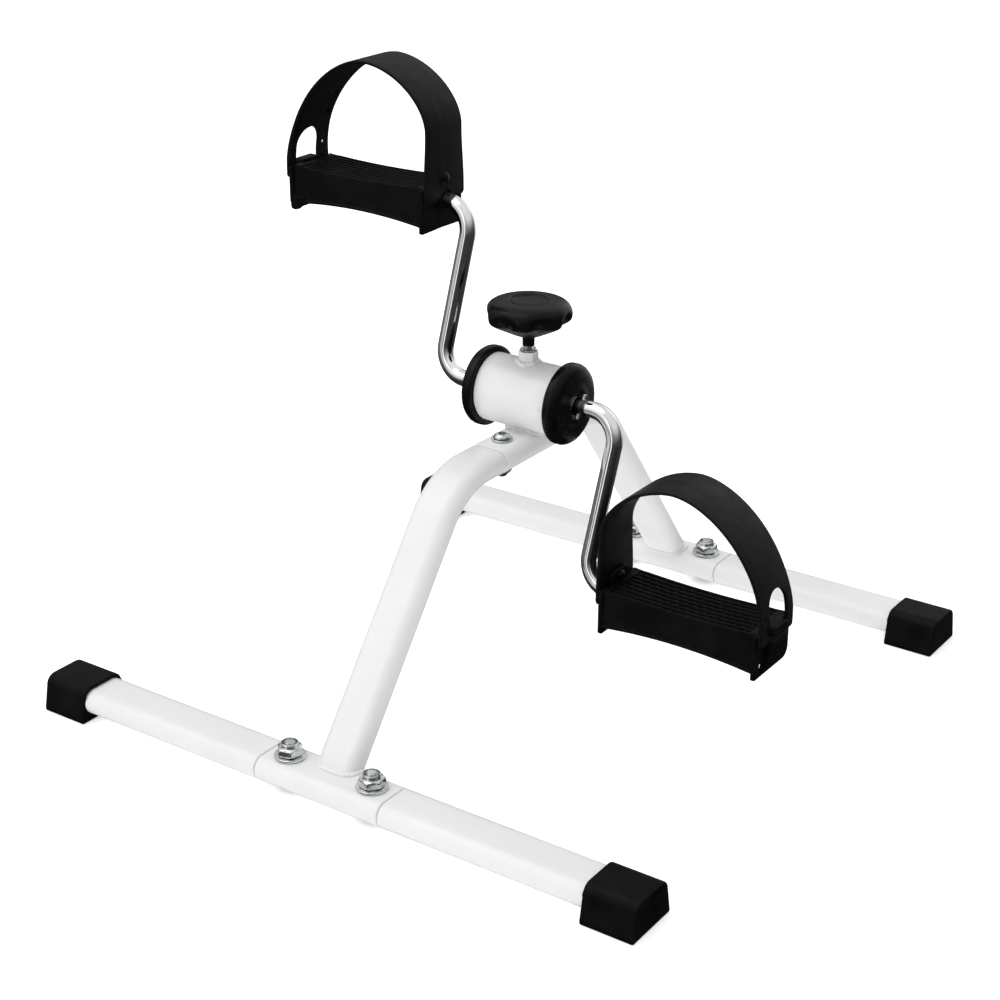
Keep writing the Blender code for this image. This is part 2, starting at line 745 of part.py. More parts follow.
def loft(rings):
    """Join rings of equal count, closing both ends with a flat face."""
    shape = bmesh.new()
    rows = [[shape.verts.new(point) for point in ring] for ring in rings]
    for lower, upper in zip(rows, rows[1:]):
        for i in range(len(lower)):
            j = (i + 1) % len(lower)
            shape.faces.new((lower[i], lower[j], upper[j], upper[i]))
    shape.faces.new(rows[0][::-1])
    shape.faces.new(rows[-1])
    mesh = bpy.data.meshes.new("loft")
    shape.to_mesh(mesh)
    shape.free()
    item = bpy.data.objects.new("loft", mesh)
    CUTTERS.objects.link(item)
    return item


def knob_body():
    """The lobed grip, its tapering hub and the neck that grips the screw."""
    neck = [(NECK_RADIUS, 0, NECK_BOTTOM), (NECK_RADIUS, 0, NECK_BOTTOM + 0.0050)]
    rings = neck + list(KNOB_SIDE) + [(KNOB_FACE, 0, KNOB_TOP)]
    body = loft([lobed_ring(radius, flute, height, 42) for radius, flute, height in rings])
    body.location = (0, AXLE_Y, 0)
    recess = KNOB_TOP - KNOB_RECESS
    cut(body, cylinder(KNOB_CAP_RADIUS + FIT, 2 * KNOB_RECESS, (0, AXLE_Y, KNOB_TOP), sides=40))
    bore_top = SHANK_TOP + 0.0005
    bore_bottom = NECK_BOTTOM - OVERRUN
    cut(body, cylinder(SHANK_RADIUS + FIT, bore_top - bore_bottom,
                       (0, AXLE_Y, (bore_top + bore_bottom) / 2), sides=24))
    part(smooth(frozen(body)), "knob_body", BLACK)
    cap = cylinder(KNOB_CAP_RADIUS, KNOB_RECESS / 2, (0, AXLE_Y, recess + FIT + KNOB_RECESS / 4), sides=40)
    part(smooth(cap), "knob_cap", BLACK)


def tension_screw():
    """From inside the knob, through the boss, to the pocket in the brake shoe."""
    tip = AXLE_Z + SHOE_TOP - SHOE_POCKET + FIT
    shank = NECK_BOTTOM - 0.0004
    profile = [(0, SHANK_TOP), (SHANK_RADIUS, SHANK_TOP), (SHANK_RADIUS, shank), (SCREW_RADIUS, shank)]
    profile += [(SCREW_RADIUS, tip + 0.0006), (SCREW_RADIUS - 0.0006, tip), (0, tip)]
    screw = turned(profile, (0, AXLE_Y, 0), steps=24)
    part(smooth(screw), "tension_screw", ZINC)


# ---------------------------------------------------------------- pedals
# A pedal is drawn with local X running outwards from the middle of the machine and Z up,
# its spindle along X at Y 0, Z 0. The left pedal is the right one turned half round.


def place_pedal(item, sign):
    item.data.transform(item.matrix_basis)
    item.location = spindle(sign)
    item.rotation_euler = (0, 0, 0 if sign > 0 else math.pi)
    return item


def tread_height(x):
    middle = (PEDAL_INNER + PEDAL_OUTER) / 2
    half = (PEDAL_OUTER - PEDAL_INNER) / 2
    return TREAD_END - TREAD_DIP * (1 - ((x - middle) / half) ** 2)


def skirt_height(x):
    middle = (PEDAL_INNER + PEDAL_OUTER) / 2
    half = (PEDAL_OUTER - PEDAL_INNER) / 2
    return SKIRT_RISE * (1 - ((x - middle) / half) ** 2) - SKIRT_DEPTH


def span(start, end, count):
    return [start + (end - start) * i / count for i in range(count + 1)]


def pedal_side_outline():
    """Side view: dished tread, arched skirt and a foot under each end wall."""
    foot = 0.004
    inner = PEDAL_INNER
    outer = PEDAL_OUTER
    top = [(x, tread_height(x)) for x in span(inner, outer, 6)]
    bottom = [(x, skirt_height(x)) for x in span(outer - foot - 0.003, inner + foot + 0.003, 6)]
    right_foot = [(outer, -FOOT_DEPTH + 0.001), (outer - 0.001, -FOOT_DEPTH), (outer - foot, -FOOT_DEPTH)]
    left_foot = [(inner + foot, -FOOT_DEPTH), (inner + 0.001, -FOOT_DEPTH), (inner, -FOOT_DEPTH + 0.001)]
    return top + right_foot + bottom + left_foot


def tread_band(start, end, low, high):
    """An outline that follows the tread between two offsets from its surface."""
    above = [(x, tread_height(x) + high) for x in span(start, end, 6)]
    below = [(x, tread_height(x) + low) for x in span(end, start, 6)]
    return above + below


def pedal_body(side, sign):
    width = 2 * PEDAL_HALF
    middle = (PEDAL_INNER + PEDAL_OUTER) / 2
    length = PEDAL_OUTER - PEDAL_INNER
    # FACING_Y maps outline x, y to X, Z
    body = slab(pedal_side_outline(), width, (0, 0, 0), FACING_Y)
    bevel(body, PEDAL_EDGE, 1, math.radians(50))
    hollow_top = TREAD_END - TREAD_DIP - 0.0030
    inside = (length - 2 * PEDAL_WALL, width - 2 * PEDAL_SKIRT, THROUGH)
    hollow = box(inside, (middle, 0, hollow_top - THROUGH / 2))
    cut(body, hollow)
    barrel_start = PEDAL_INNER + 0.001
    barrel = cylinder(BARREL_RADIUS, BARREL_END - barrel_start,
                      ((BARREL_END + barrel_start) / 2, 0, -BARREL_DROP), "X", 20)
    join(body, barrel)
    join(body, box(LUG, (PEDAL_INNER + 0.0001 + LUG[0] / 2, 0, LUG_Z)))
    cut(body, cylinder(STUD_RADIUS + FIT, 0.02, (PEDAL_INNER, 0, STUD_Z), "X", 12))
    # the strap's D-shaped hole slips over this hook
    join(body, box(HOOK, (PEDAL_OUTER + HOOK[0] * 0.4, 0, HOOK_Z)))
    cut(body, cylinder(ROD_RADIUS + FIT, BARREL_END - PEDAL_INNER + 0.01,
                       ((BARREL_END + PEDAL_INNER) / 2, 0, 0), "X", 24))
    pocket = ROD_END - BARREL_END + OVERRUN
    cut(body, cylinder(RETAINER_RADIUS + FIT, pocket, (BARREL_END + pocket / 2, 0, 0), "X", 20))
    first = -RIB_PITCH * (RIB_COUNT - 1) / 2
    ribs = slab(tread_band(PEDAL_INNER + RIB_MARGIN, PEDAL_OUTER - RIB_MARGIN, -0.0010, RIB_HEIGHT),
                RIB_WIDTH, (0, first, 0), FACING_Y)
    array = ribs.modifiers.new("rows", "ARRAY")
    array.count = RIB_COUNT
    array.use_relative_offset = False
    array.use_constant_offset = True
    array.constant_offset_displace = (0, 0, -RIB_PITCH)
    array.merge_threshold = 0.00001
    join(body, frozen(ribs))
    body = smooth(frozen(body))
    place_pedal(body, sign)
    part(body, f"pedal_{side}", BLACK)


def arch_point(foot_x, foot_z, turn, shoulder):
    """A point on a quarter arch from a leg to the crown; shoulder over 1 flattens it."""
    x, z = STRAP_CROWN
    return (x + (foot_x - x) * math.cos(turn) ** shoulder,
            foot_z + (z - foot_z) * math.sin(turn) ** shoulder)


def strap_path():
    """The strap's outer face seen from the front, from the inner wall over to the outer one."""
    inner = PEDAL_INNER - FIT - STRAP_THICKNESS
    outer = PEDAL_OUTER + FIT + STRAP_THICKNESS
    rise = [(inner, z) for z in span(STRAP_INNER_FOOT, STRAP_INNER_RISE, 4)]
    left = []
    for turn in span(0, math.pi / 2, 12)[1:]:
        left.append(arch_point(inner, STRAP_INNER_RISE, turn, STRAP_INNER_SHOULDER))
    right = []
    for turn in span(math.pi / 2, 0, 16)[1:]:
        right.append(arch_point(outer, STRAP_OUTER_RISE, turn, STRAP_OUTER_SHOULDER))
    return rise + left + right + [(outer, STRAP_OUTER_FOOT)]


def strap_half_width(height):
    blend = max(0.0, min(1.0, (0.040 - height) / 0.034))
    ease = blend * blend * (3 - 2 * blend)
    return STRAP_TOP_HALF + (STRAP_END_HALF - STRAP_TOP_HALF) * ease


def strap_band():
    """The open surface of the strap's outer face."""
    rows = strap_path()
    shape = bmesh.new()
    edges = []
    for x, z in rows:
        half = strap_half_width(z)
        edges.append([shape.verts.new((x, y, z)) for y in (-half, half)])
    for (a, b), (c, d) in zip(edges, edges[1:]):
        shape.faces.new((a, c, d, b))
    mesh = bpy.data.meshes.new("strap")
    shape.to_mesh(mesh)
    shape.free()
    item = bpy.data.objects.new("strap", mesh)
    CUTTERS.objects.link(item)
    return item


def strap(side, sign):
    band = strap_band()
    shell = band.modifiers.new("thickness", "SOLIDIFY")
    shell.thickness = STRAP_THICKNESS
    shell.offset = -1
    shell.use_even_offset = True
    band = frozen(band)
    # the D-shaped hole, its flat side down on the hook
    half, floor, spring = D_HOLE_HALF, D_HOLE_FLOOR, D_HOLE_SPRING
    outline = [(half, floor), (half, spring)] + arc((0, spring), half, 10, 170, 10)
    outline += [(-half, spring), (-half, floor)]
    cut(band, slab([(y + D_HOLE_Y, z) for y, z in outline], 0.030, (PEDAL_OUTER, 0, 0), FACING_X))
    spare_y, spare_z, spare = SPARE_HOLE
    cut(band, cylinder(spare, 0.02, (PEDAL_OUTER, spare_y, spare_z), "X", 12))
    # the stud's hole and the notch round the spindle
    cut(band, cylinder(STUD_RADIUS + FIT, 0.02, (PEDAL_INNER, 0, STUD_Z), "X", 16))
    cut(band, cylinder(SPINDLE_NOTCH, 0.02, (PEDAL_INNER, 0, 0), "X", 24))
    band = smooth(frozen(band))
    place_pedal(band, sign)
    part(band, f"strap_{side}", STRAP_BLACK)


def strap_stud(side, sign):
    """A snap stud through the strap and the pedal's lug."""
    inside = PEDAL_INNER + 0.0027 + FIT
    outside = PEDAL_INNER - STRAP_THICKNESS - 2 * FIT
    profile = [(0, inside + 0.0016), (0.0020, inside + 0.0012), (0.0030, inside), (STUD_RADIUS, inside)]
    profile += [(STUD_RADIUS, outside), (0.0038, outside), (0.0032, outside - 0.0010), (0, outside - 0.0014)]
    stud = turned(profile, (0, 0, 0), steps=14)
    stud.data.transform(Matrix.Translation((0, 0, STUD_Z)) @ Matrix.Rotation(math.pi / 2, 4, "Y"))
    place_pedal(smooth(stud), sign)
    part(stud, f"strap_stud_{side}", BLACK)


def spindle_ring(name, sign, start, end, radius):
    """A ring on the spindle, such as the collar or the push-on retainer."""
    inner = ROD_RADIUS + FIT
    profile = [(radius, end), (radius, start), (inner, start), (inner, end)]
    ring = turned(profile, (0, 0, 0), steps=16)
    ring.data.transform(Matrix.Rotation(math.pi / 2, 4, "Y"))
    place_pedal(smooth(ring), sign)
    part(ring, name, STEEL)


def pedal(side, sign):
    pedal_body(side, sign)
    strap(side, sign)
    strap_stud(side, sign)
    spindle_ring(f"pedal_collar_{side}", sign, PEDAL_INNER - 0.0017, PEDAL_INNER - FIT, 0.0062)
    spindle_ring(f"pedal_retainer_{side}", sign, BARREL_END + FIT, BARREL_END + 0.0018, RETAINER_RADIUS)


# ---------------------------------------------------------------- build


def build():
    for end, y, length in BARS:
        foot_bar(end, y, length)
    foot_fasteners()
    front_leg()
    top_tube()
    joint_fasteners()
    housing_shell()
    tension_boss()
    thread_insert()
    brake()
    friction_drum()
    knob_body()
    tension_screw()
    for side, sign in SIDES:
        end_cap(side, sign)
        bush(side, sign)
        crank_rod(side, sign)
        pedal(side, sign)


build()
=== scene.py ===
"""Looks of the pedal exerciser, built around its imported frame.

Metres, +Z up. X runs along the foot bars and -Y is the side of the front bar. Each piece takes
its place from the CAD node that it stands for, and rides on that node's body.
"""

import json
from math import atan2, copysign, cos, hypot, pi, radians, sin, sqrt, tan

import bmesh
import bpy
from mathutils import Matrix, Quaternion, Vector, noise


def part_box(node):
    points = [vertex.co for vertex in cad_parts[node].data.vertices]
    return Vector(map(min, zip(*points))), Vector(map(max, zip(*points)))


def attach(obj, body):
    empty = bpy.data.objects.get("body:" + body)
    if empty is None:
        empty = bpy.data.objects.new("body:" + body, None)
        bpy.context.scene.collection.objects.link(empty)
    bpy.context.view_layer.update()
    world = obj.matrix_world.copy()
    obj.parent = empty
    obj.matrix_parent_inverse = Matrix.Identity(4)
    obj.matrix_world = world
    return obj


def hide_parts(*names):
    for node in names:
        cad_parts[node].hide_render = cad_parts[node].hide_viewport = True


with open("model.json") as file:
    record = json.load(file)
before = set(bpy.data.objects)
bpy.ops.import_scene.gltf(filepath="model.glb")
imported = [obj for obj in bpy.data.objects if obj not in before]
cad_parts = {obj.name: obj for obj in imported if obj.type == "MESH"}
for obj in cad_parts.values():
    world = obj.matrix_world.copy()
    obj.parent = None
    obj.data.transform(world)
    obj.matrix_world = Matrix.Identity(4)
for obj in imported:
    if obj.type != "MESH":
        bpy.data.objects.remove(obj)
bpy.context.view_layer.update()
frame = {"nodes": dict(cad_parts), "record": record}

# ---- places read from the frame


def centre(node):
    low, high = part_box(node)
    return (low + high) / 2


def extent(node):
    low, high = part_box(node)
    return high - low


def outer_x(node, sign):
    """X of the face that looks away from the middle, on the side that sign gives."""
    low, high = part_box(node)
    return high.x if sign > 0 else low.x


SIDES = (("left", -1), ("right", 1))
ENDS = ("front", "rear")
FIT = 0.0003  # clearance between touching pieces
SEAM = 0.0008  # open seam between two tube ends
AXLE = centre("friction_drum")  # middle of the crank axis
BAR = {end: centre(f"{end}_sleeve") for end in ENDS}
SLEEVE_HALF = extent("front_sleeve").x / 2
TUBE = (extent("front_sleeve").y, extent("front_sleeve").z)
SPINDLE = {side: centre(f"pedal_retainer_{side}") for side, _ in SIDES}
BODY_OF = {member: body for body, members in frame["record"]["behaviour"]["bodies"].items()
           for member in members}

# ---- sizes of the fine shapes

EDGE = 0.0006  # rounding of a cut tube's edge
OVAL_STEPS = 22  # points on each round side of a flat oval
LEG_SECTION = (0.0268, 0.0144)
TOP_SECTION = (0.027, 0.0148)
TOP_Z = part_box("front_leg")[1].z - LEG_SECTION[1] / 2
LEG_BEND = 0.045
LEG_FOOT = {"front": -0.1745, "rear": 0.1795}  # Y where a leg's axis crosses LEG_FOOT_Z
LEG_FOOT_Z = 0.012
KNEE = {"front": -0.0705, "rear": 0.0745}
JOINT_Y = -0.0325  # seam of front leg and top tube
PLUG_INSET = 0.0013  # reduced end inside a tube
PLUG_HALF = {"leg": 0.008, "foot": 0.006}
WELD = 0.0016  # radius of a weld bead
SADDLE_HALF = 0.0118  # half width of the housing's weld

CAP_CROWN = 0.0065  # radius of a foot cap's shoulders
CAP_TOP_HALF = 0.015
CAP_EDGE = 0.0011
FOOT_NUT = (0.013, 0.0046, 0.0042)  # across flats, height of the hexagon, bore
JOINT_NUT = (0.01, 0.0042, 0.0032)
NUT_TURN = 0.26  # how far the foot nuts are turned, mirrored from side to side
FOOT_BOLT_HEAD = 0.0017
SOCKET_FLATS = 0.0044  # hexagon in the joint bolt's head
SOCKET_DEPTH = 0.0028

ROD_RADIUS = 0.00475
ARM_HUB_X = 0.062
ARM_PEDAL_X = 0.0525
ROD_BEND = 0.0165
ROD_EDGE = 0.0008
PIN_HALF = 0.0075
PIN_LEAN = radians(56)

KNOB_LOBES = 7
KNOB_FLUTE_ANGLE = radians(-39.8)
KNOB_RECESS = 0.0012
SCREW_RADIUS = 0.003
SCREW_PITCH = 0.001

PEDAL_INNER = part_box("pedal_right")[0].x
STRAP_THICKNESS = 0.002
STRAP_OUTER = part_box("strap_right")[1].x
PEDAL_OUTER = STRAP_OUTER - STRAP_THICKNESS - FIT
PEDAL_HALF = 0.0195
PEDAL_MIDDLE = (PEDAL_INNER + PEDAL_OUTER) / 2
PEDAL_REACH = (PEDAL_OUTER - PEDAL_INNER) / 2
TREAD_END = 0.0092
TREAD_DIP = 0.0018
SKIRT_DEPTH = 0.0135
SKIRT_RISE = 0.0035
FOOT_DEPTH = 0.017
WALL = 0.0026  # end walls of a pedal
WALL_TOP = TREAD_END + 0.0002
WALL_EDGE = 0.0005
OUTER_CORNER = 0.006  # radius of the outer wall's round lower corner
PANEL_MIDDLE = (0.006, -0.006)
RIB_ROWS = 9
RIB_PITCH = 0.0042
RIB_HEIGHT = 0.0012
BRIDGE_PITCH = 0.0058
BRIDGE_HALF = 0.0011
BARREL_RADIUS = 0.0085
BARREL_DROP = 0.0015  # the barrel's axis below the spindle's
STUD_Z = centre("strap_stud_right").z - SPINDLE["right"].z

STRAP_CROWN = (0.1175, 0.078)
STRAP_INNER_FOOT = 0.0005
STRAP_INNER_RISE = 0.042
STRAP_OUTER_RISE = 0.012
STRAP_OUTER_FOOT = 0.0022
STRAP_SHOULDER = 1.12
STRAP_TOP_HALF = 0.017
STRAP_END_HALF = 0.019
D_HOLE_Y = 0.0015  # the D-shaped hole sits off the strap's middle
D_HOLE_HALF = 0.0102
D_HOLE_FLOOR = 0.006
D_HOLE_SPRING = 0.0198
SPARE_HOLE = (-0.0135, 0.018, 0.0016)  # y, z and radius
DIMPLES = (0.037, 0.05)  # heights of the blind adjusting marks
DIMPLE_Y = -0.0115
CUT_EDGE = 0.00001  # edge of a cutter

# ---- flat outlines


def span(start, end, count):
    return [start + (end - start) * i / count for i in range(count + 1)]


def angles(count):
    return span(0.0, 2 * pi, count)[:-1]


def circle(radius, count):
    return [(radius * cos(angle), radius * sin(angle)) for angle in angles(count)]


def arc(middle, radius, start, end, count):
    """Points on an arc, angles in degrees."""
    turns = [radians(angle) for angle in span(start, end, count)]
    return [(middle[0] + radius * cos(turn), middle[1] + radius * sin(turn)) for turn in turns]


def oval(section, shrink=0.0, steps=OVAL_STEPS):
    """A flat oval of a (width, height): two half circles joined by flats, moved inwards by shrink."""
    radius = section[1] / 2 - shrink
    side = (section[0] - section[1]) / 2
    return arc((side, 0), radius, -90, 90, steps) + arc((-side, 0), radius, 90, 270, steps)


def mirrored(right):
    """An outline's right half followed by its mirror image."""
    return right + [(-across, up) for across, up in reversed(right)]


def rounded(points, reach, steps=5):
    """The closed outline with each corner eased by a curve that starts at most reach away from it."""
    made = []
    for i, point in enumerate(points):
        corner = Vector(point)
        back = Vector(points[i - 1]) - corner
        ahead = Vector(points[(i + 1) % len(points)]) - corner
        first = corner + back.normalized() * min(reach, back.length * 0.45)
        last = corner + ahead.normalized() * min(reach, ahead.length * 0.45)
        for t in span(0.0, 1.0, steps):
            made.append(tuple(first * (1 - t) ** 2 + corner * 2 * t * (1 - t) + last * t * t))
    return made


def pane(left, right, low, high, reach, steps):
    """A rectangle with eased corners."""
    return rounded([(left, low), (right, low), (right, high), (left, high)], reach, steps)


def inset(points, amount):
    """A closed, anticlockwise outline moved inwards by the same amount all round."""
    made = []
    for i, point in enumerate(points):
        before = Vector(points[i - 1])
        after = Vector(points[(i + 1) % len(points)])
        run = (after - before).normalized()
        made.append((point[0] - run.y * amount, point[1] + run.x * amount))
    return made


def eased_start(edge, steps=4):
    """Stations of a rounded end, as (distance from the end, inset of the section)."""
    return [(edge * (1 - cos(angle)), edge * (1 - sin(angle)))
            for angle in span(0.0, pi / 2, steps)]


def eased(length, edge, steps=4):
    """Stations along a bar with two rounded ends."""
    start = eased_start(edge, steps)
    return start + [(length - distance, amount) for distance, amount in reversed(start)]


# ---- shapes, as (points, faces)


def landing(ring):
    """A ring just inside an end ring; it keeps the shading of the end face flat."""
    middle = sum(ring, Vector()) / len(ring)
    return [point.lerp(middle, 0.06) for point in ring]


def skin(rings, loop=False, landings=True):
    """A closed shape over rings with equally many points; a loop joins its last ring to its first."""
    rings = [[Vector(point) for point in ring] for ring in rings]
    if landings and not loop:
        rings = [landing(rings[0])] + rings + [landing(rings[-1])]
    count = len(rings[0])
    faces = []
    for row in range(len(rings) if loop else len(rings) - 1):
        upper = (row + 1) % len(rings)
        for i in range(count):
            j = (i + 1) % count
            faces.append((row * count + i, row * count + j, upper * count + j, upper * count + i))
    if not loop:
        last = (len(rings) - 1) * count
        faces.append(tuple(range(count))[::-1])
        faces.append(tuple(range(last, last + count)))
    return [point for ring in rings for point in ring], faces


def rings_round(rows, steps, reach=lambda row, angle: row[0]):
    """Rings round Z, one for each row; a row starts with its radius and ends with its height."""
    rings = []
    for row in rows:
        spokes = [(reach(row, angle), angle) for angle in angles(steps)]
        rings.append([(far * cos(angle), far * sin(angle), row[-1]) for far, angle in spokes])
    return rings


def spun(profile, steps=72, loop=False):
    """Spin (radius, height) points round Z."""
    return skin(rings_round(profile, steps), loop)


def collar(inner, outer, low, high, reach, steps):
    """A plain ring round Z with eased edges."""
    return spun(pane(inner, outer, low, high, reach, 3), steps, loop=True)


def swept(path, sections, side, loop=False):
    """A section, or one for each point, carried along a path without twisting."""
    rings = []
    side = Vector(side)
    for i, place in enumerate(path):
        before = path[i - 1] if loop or i else place
        after = path[(i + 1) % len(path)] if loop or i < len(path) - 1 else place
        along = (after - before).normalized()
        side = (side - along * side.dot(along)).normalized()
        up = along.cross(side)
        section = sections[i] if isinstance(sections[0], list) else sections
        rings.append([place + side * x + up * y for x, y in section])
    return skin(rings, loop)


def moved(shape, matrix):
    points, faces = shape
    return [matrix @ Vector(point) for point in points], faces


def plate(outline, length, edge, place):
    """An outline given a thickness along local Z, with eased edges."""
    rings = []
    for height, amount in eased(length, edge):
        rings.append([(x, y, height) for x, y in inset(outline, amount)])
    return moved(skin(rings), place)


AT = Matrix.Translation
TO_X = Matrix(((0, 0, 1, 0), (1, 0, 0, 0), (0, 1, 0, 0), (0, 0, 0, 1)))  # local x, y, z to Y, Z, X
MIRROR_X = Matrix.Scale(-1, 4, (1, 0, 0))


def upright(node, height):
    """A place on a node's vertical middle line."""
    middle = centre(node)
    return AT((middle.x, middle.y, height))


def outward(sign, place):
    """Local Z to the outside of one side of the machine."""
    return AT(place) @ (TO_X if sign > 0 else MIRROR_X @ TO_X)


def board(outline, start, thickness, edge=CUT_EDGE):
    """An outline in Y and Z given a thickness along X."""
    return plate(outline, thickness, edge, AT((start, 0, 0)) @ TO_X)


def drill(radius, length, place, steps=48, slope=0.0):
    """A round cutter along X, centred on its place and turned about Y by slope."""
    where = AT(place) @ Matrix.Rotation(-slope, 4, "Y") @ TO_X
    return moved(spun([(radius, -length / 2), (radius, length / 2)], steps), where)


def linked(name, data):
    """A new object in the scene."""
    item = bpy.data.objects.new(name, data)
    bpy.context.scene.collection.objects.link(item)
    return item


def mesh_of(name, shapes):
    """One mesh from closed shapes, each with its faces pointing out."""
    points, faces = [], []
    for shape_points, shape_faces in shapes:
        start = len(points)
        points += shape_points
        faces += [tuple(start + i for i in face) for face in shape_faces]
    mesh = bpy.data.meshes.new(name)
    mesh.from_pydata(points, [], faces)
    work = bmesh.new()
    work.from_mesh(mesh)
    bmesh.ops.remove_doubles(work, verts=work.verts, dist=0.0000005)
    bmesh.ops.recalc_face_normals(work, faces=work.faces)
    work.to_mesh(mesh)
    work.free()
    return mesh


def carved(shape, cutters):
    """The shape with every cutter taken out of it."""
    target = linked("target", mesh_of("target", [shape]))
    tools = [linked("tool", mesh_of("tool", [cutter])) for cutter in cutters]
    for tool in tools:
        step = target.modifiers.new("cut", "BOOLEAN")
        step.operation = "DIFFERENCE"
        step.object = tool
    bpy.context.view_layer.update()
    solid = target.evaluated_get(bpy.context.evaluated_depsgraph_get()).to_mesh()
    made = ([vertex.co.copy() for vertex in solid.vertices],
            [tuple(face.vertices) for face in solid.polygons])
    for item in [target, *tools]:
        bpy.data.objects.remove(item, do_unlink=True)
    return made


# ---- materials


def links_of(material):
    return material.node_tree.nodes, material.node_tree.links


def new_material(name, roughness, metallic=0.0, specular=0.5, coat=0.0):
    made = bpy.data.materials.new(name)
    made.use_nodes = True
    shader = made.node_tree.nodes["Principled BSDF"]
    shader.inputs["Roughness"].default_value = roughness
    shader.inputs["Metallic"].default_value = metallic
    shader.inputs["Specular IOR Level"].default_value = specular
    shader.inputs["Coat Weight"].default_value = coat
    shader.inputs["Coat Roughness"].default_value = 0.08
    return made


def place_noise(material, scale, detail, stretch=(1, 1, 1), roughness=0.55):
    """Noise fixed to the piece; scale is in features per metre."""
    nodes, links = links_of(material)
    where = nodes.new("ShaderNodeTexCoord")
    mapping = nodes.new("ShaderNodeMapping")
    mapping.inputs["Scale"].default_value = stretch
    grain = nodes.new("ShaderNodeTexNoise")
    grain.inputs["Scale"].default_value = scale
    grain.inputs["Detail"].default_value = detail
    grain.inputs["Roughness"].default_value = roughness
    links.new(where.outputs["Object"], mapping.inputs["Vector"])
    links.new(mapping.outputs["Vector"], grain.inputs["Vector"])
    return grain.outputs["Fac"]


def cells(material, scale):
    """The rounded cells of a spark-eroded mould."""
    nodes, links = links_of(material)
    where = nodes.new("ShaderNodeTexCoord")
    grain = nodes.new("ShaderNodeTexVoronoi")
    grain.feature = "SMOOTH_F1"
    grain.inputs["Scale"].default_value = scale
    links.new(where.outputs["Object"], grain.inputs["Vector"])
    return grain.outputs["Distance"]


def colour_from(material, source, colours, spread=(0.3, 0.7)):
    nodes, links = links_of(material)
    ramp = nodes.new("ShaderNodeValToRGB")
    for stop, place, colour in zip(ramp.color_ramp.elements, spread, colours):
        stop.position = place
        stop.color = (*colour, 1)
    links.new(source, ramp.inputs["Fac"])
    links.new(ramp.outputs["Color"], nodes["Principled BSDF"].inputs["Base Color"])


def vary_roughness(material, source, low, high):
    nodes, links = links_of(material)
    step = nodes.new("ShaderNodeMapRange")
    for socket, value in (("From Min", 0.3), ("From Max", 0.7), ("To Min", low), ("To Max", high)):
        step.inputs[socket].default_value = value
    links.new(source, step.inputs["Value"])
    links.new(step.outputs["Result"], nodes["Principled BSDF"].inputs["Roughness"])


def bumped(material, heights):
    """A chain of bumps, each given as (height source, depth in metres)."""
    nodes, links = links_of(material)
    before = None
    for source, depth in heights:
        bump = nodes.new("ShaderNodeBump")
        bump.inputs["Distance"].default_value = depth
        bump.inputs["Strength"].default_value = 1.0
        links.new(source, bump.inputs["Height"])
        if before:
            links.new(before, bump.inputs["Normal"])
        before = bump.outputs["Normal"]
    links.new(before, nodes["Principled BSDF"].inputs["Normal"])


def powder_coat():
    """Gloss white powder coat: faint orange peel and slow changes of film thickness."""
    made = new_material("powder_coat", 0.34, specular=0.4, coat=0.15)
    film = place_noise(made, 28, 3)
    colour_from(made, film, ((0.8, 0.8, 0.806), (0.825, 0.825, 0.83)))
    vary_roughness(made, place_noise(made, 160, 3), 0.28, 0.38)
    bumped(made, [(place_noise(made, 620, 2), 0.000006), (place_noise(made, 110, 2), 0.00001)])
    return made


def moulded(name, dark, light, gloss, grain, depth, specular=0.06):
    """Black moulded plastic: mould grain, flow marks and uneven gloss."""
    made = new_material(name, gloss, specular=specular)
    colour_from(made, place_noise(made, 60, 5), (dark, light), (0.35, 0.68))
    vary_roughness(made, place_noise(made, 190, 4), gloss - 0.07, gloss + 0.09)
    bumped(made, [(cells(made, grain), depth), (place_noise(made, grain * 2.3, 3), depth * 0.5)])
    return made


def strap_vinyl():
    """Black vinyl band: fine grain with soft drawn lines round the foot."""
    made = new_material("strap_vinyl", 0.44, specular=0.12)
    drawn = place_noise(made, 260, 3, (0.05, 1, 0.05))
    colour_from(made, drawn, ((0.0025, 0.0025, 0.0028), (0.007, 0.007, 0.0076)), (0.32, 0.7))
    vary_roughness(made, place_noise(made, 120, 4), 0.4, 0.54)
    bumped(made, [(place_noise(made, 1900, 3), 0.00002), (drawn, 0.00003)])
    return made


def chrome():
    made = new_material("chrome", 0.05, metallic=1.0)
    colour_from(made, place_noise(made, 90, 3), ((0.74, 0.75, 0.76), (0.86, 0.86, 0.86)))
    vary_roughness(made, place_noise(made, 420, 4), 0.035, 0.085)
    bumped(made, [(place_noise(made, 75, 2), 0.0001)])
    return made


def zinc():
    """Bright zinc plate with its faint blue and straw tints."""
    made = new_material("zinc", 0.24, metallic=1.0)
    colour_from(made, place_noise(made, 240, 4), ((0.5, 0.54, 0.55), (0.8, 0.8, 0.76)))
    vary_roughness(made, place_noise(made, 900, 4), 0.14, 0.32)
    bumped(made, [(place_noise(made, 1500, 4), 0.00002)])
    return made


def steel():
    """Plain turned steel with fine tool lines."""
    made = new_material("turned_steel", 0.34, metallic=1.0)
    colour_from(made, place_noise(made, 300, 4), ((0.34, 0.34, 0.35), (0.6, 0.6, 0.61)))
    lines = place_noise(made, 2600, 2, (1, 0.15, 0.15))
    vary_roughness(made, lines, 0.26, 0.44)
    bumped(made, [(lines, 0.00002)])
    return made


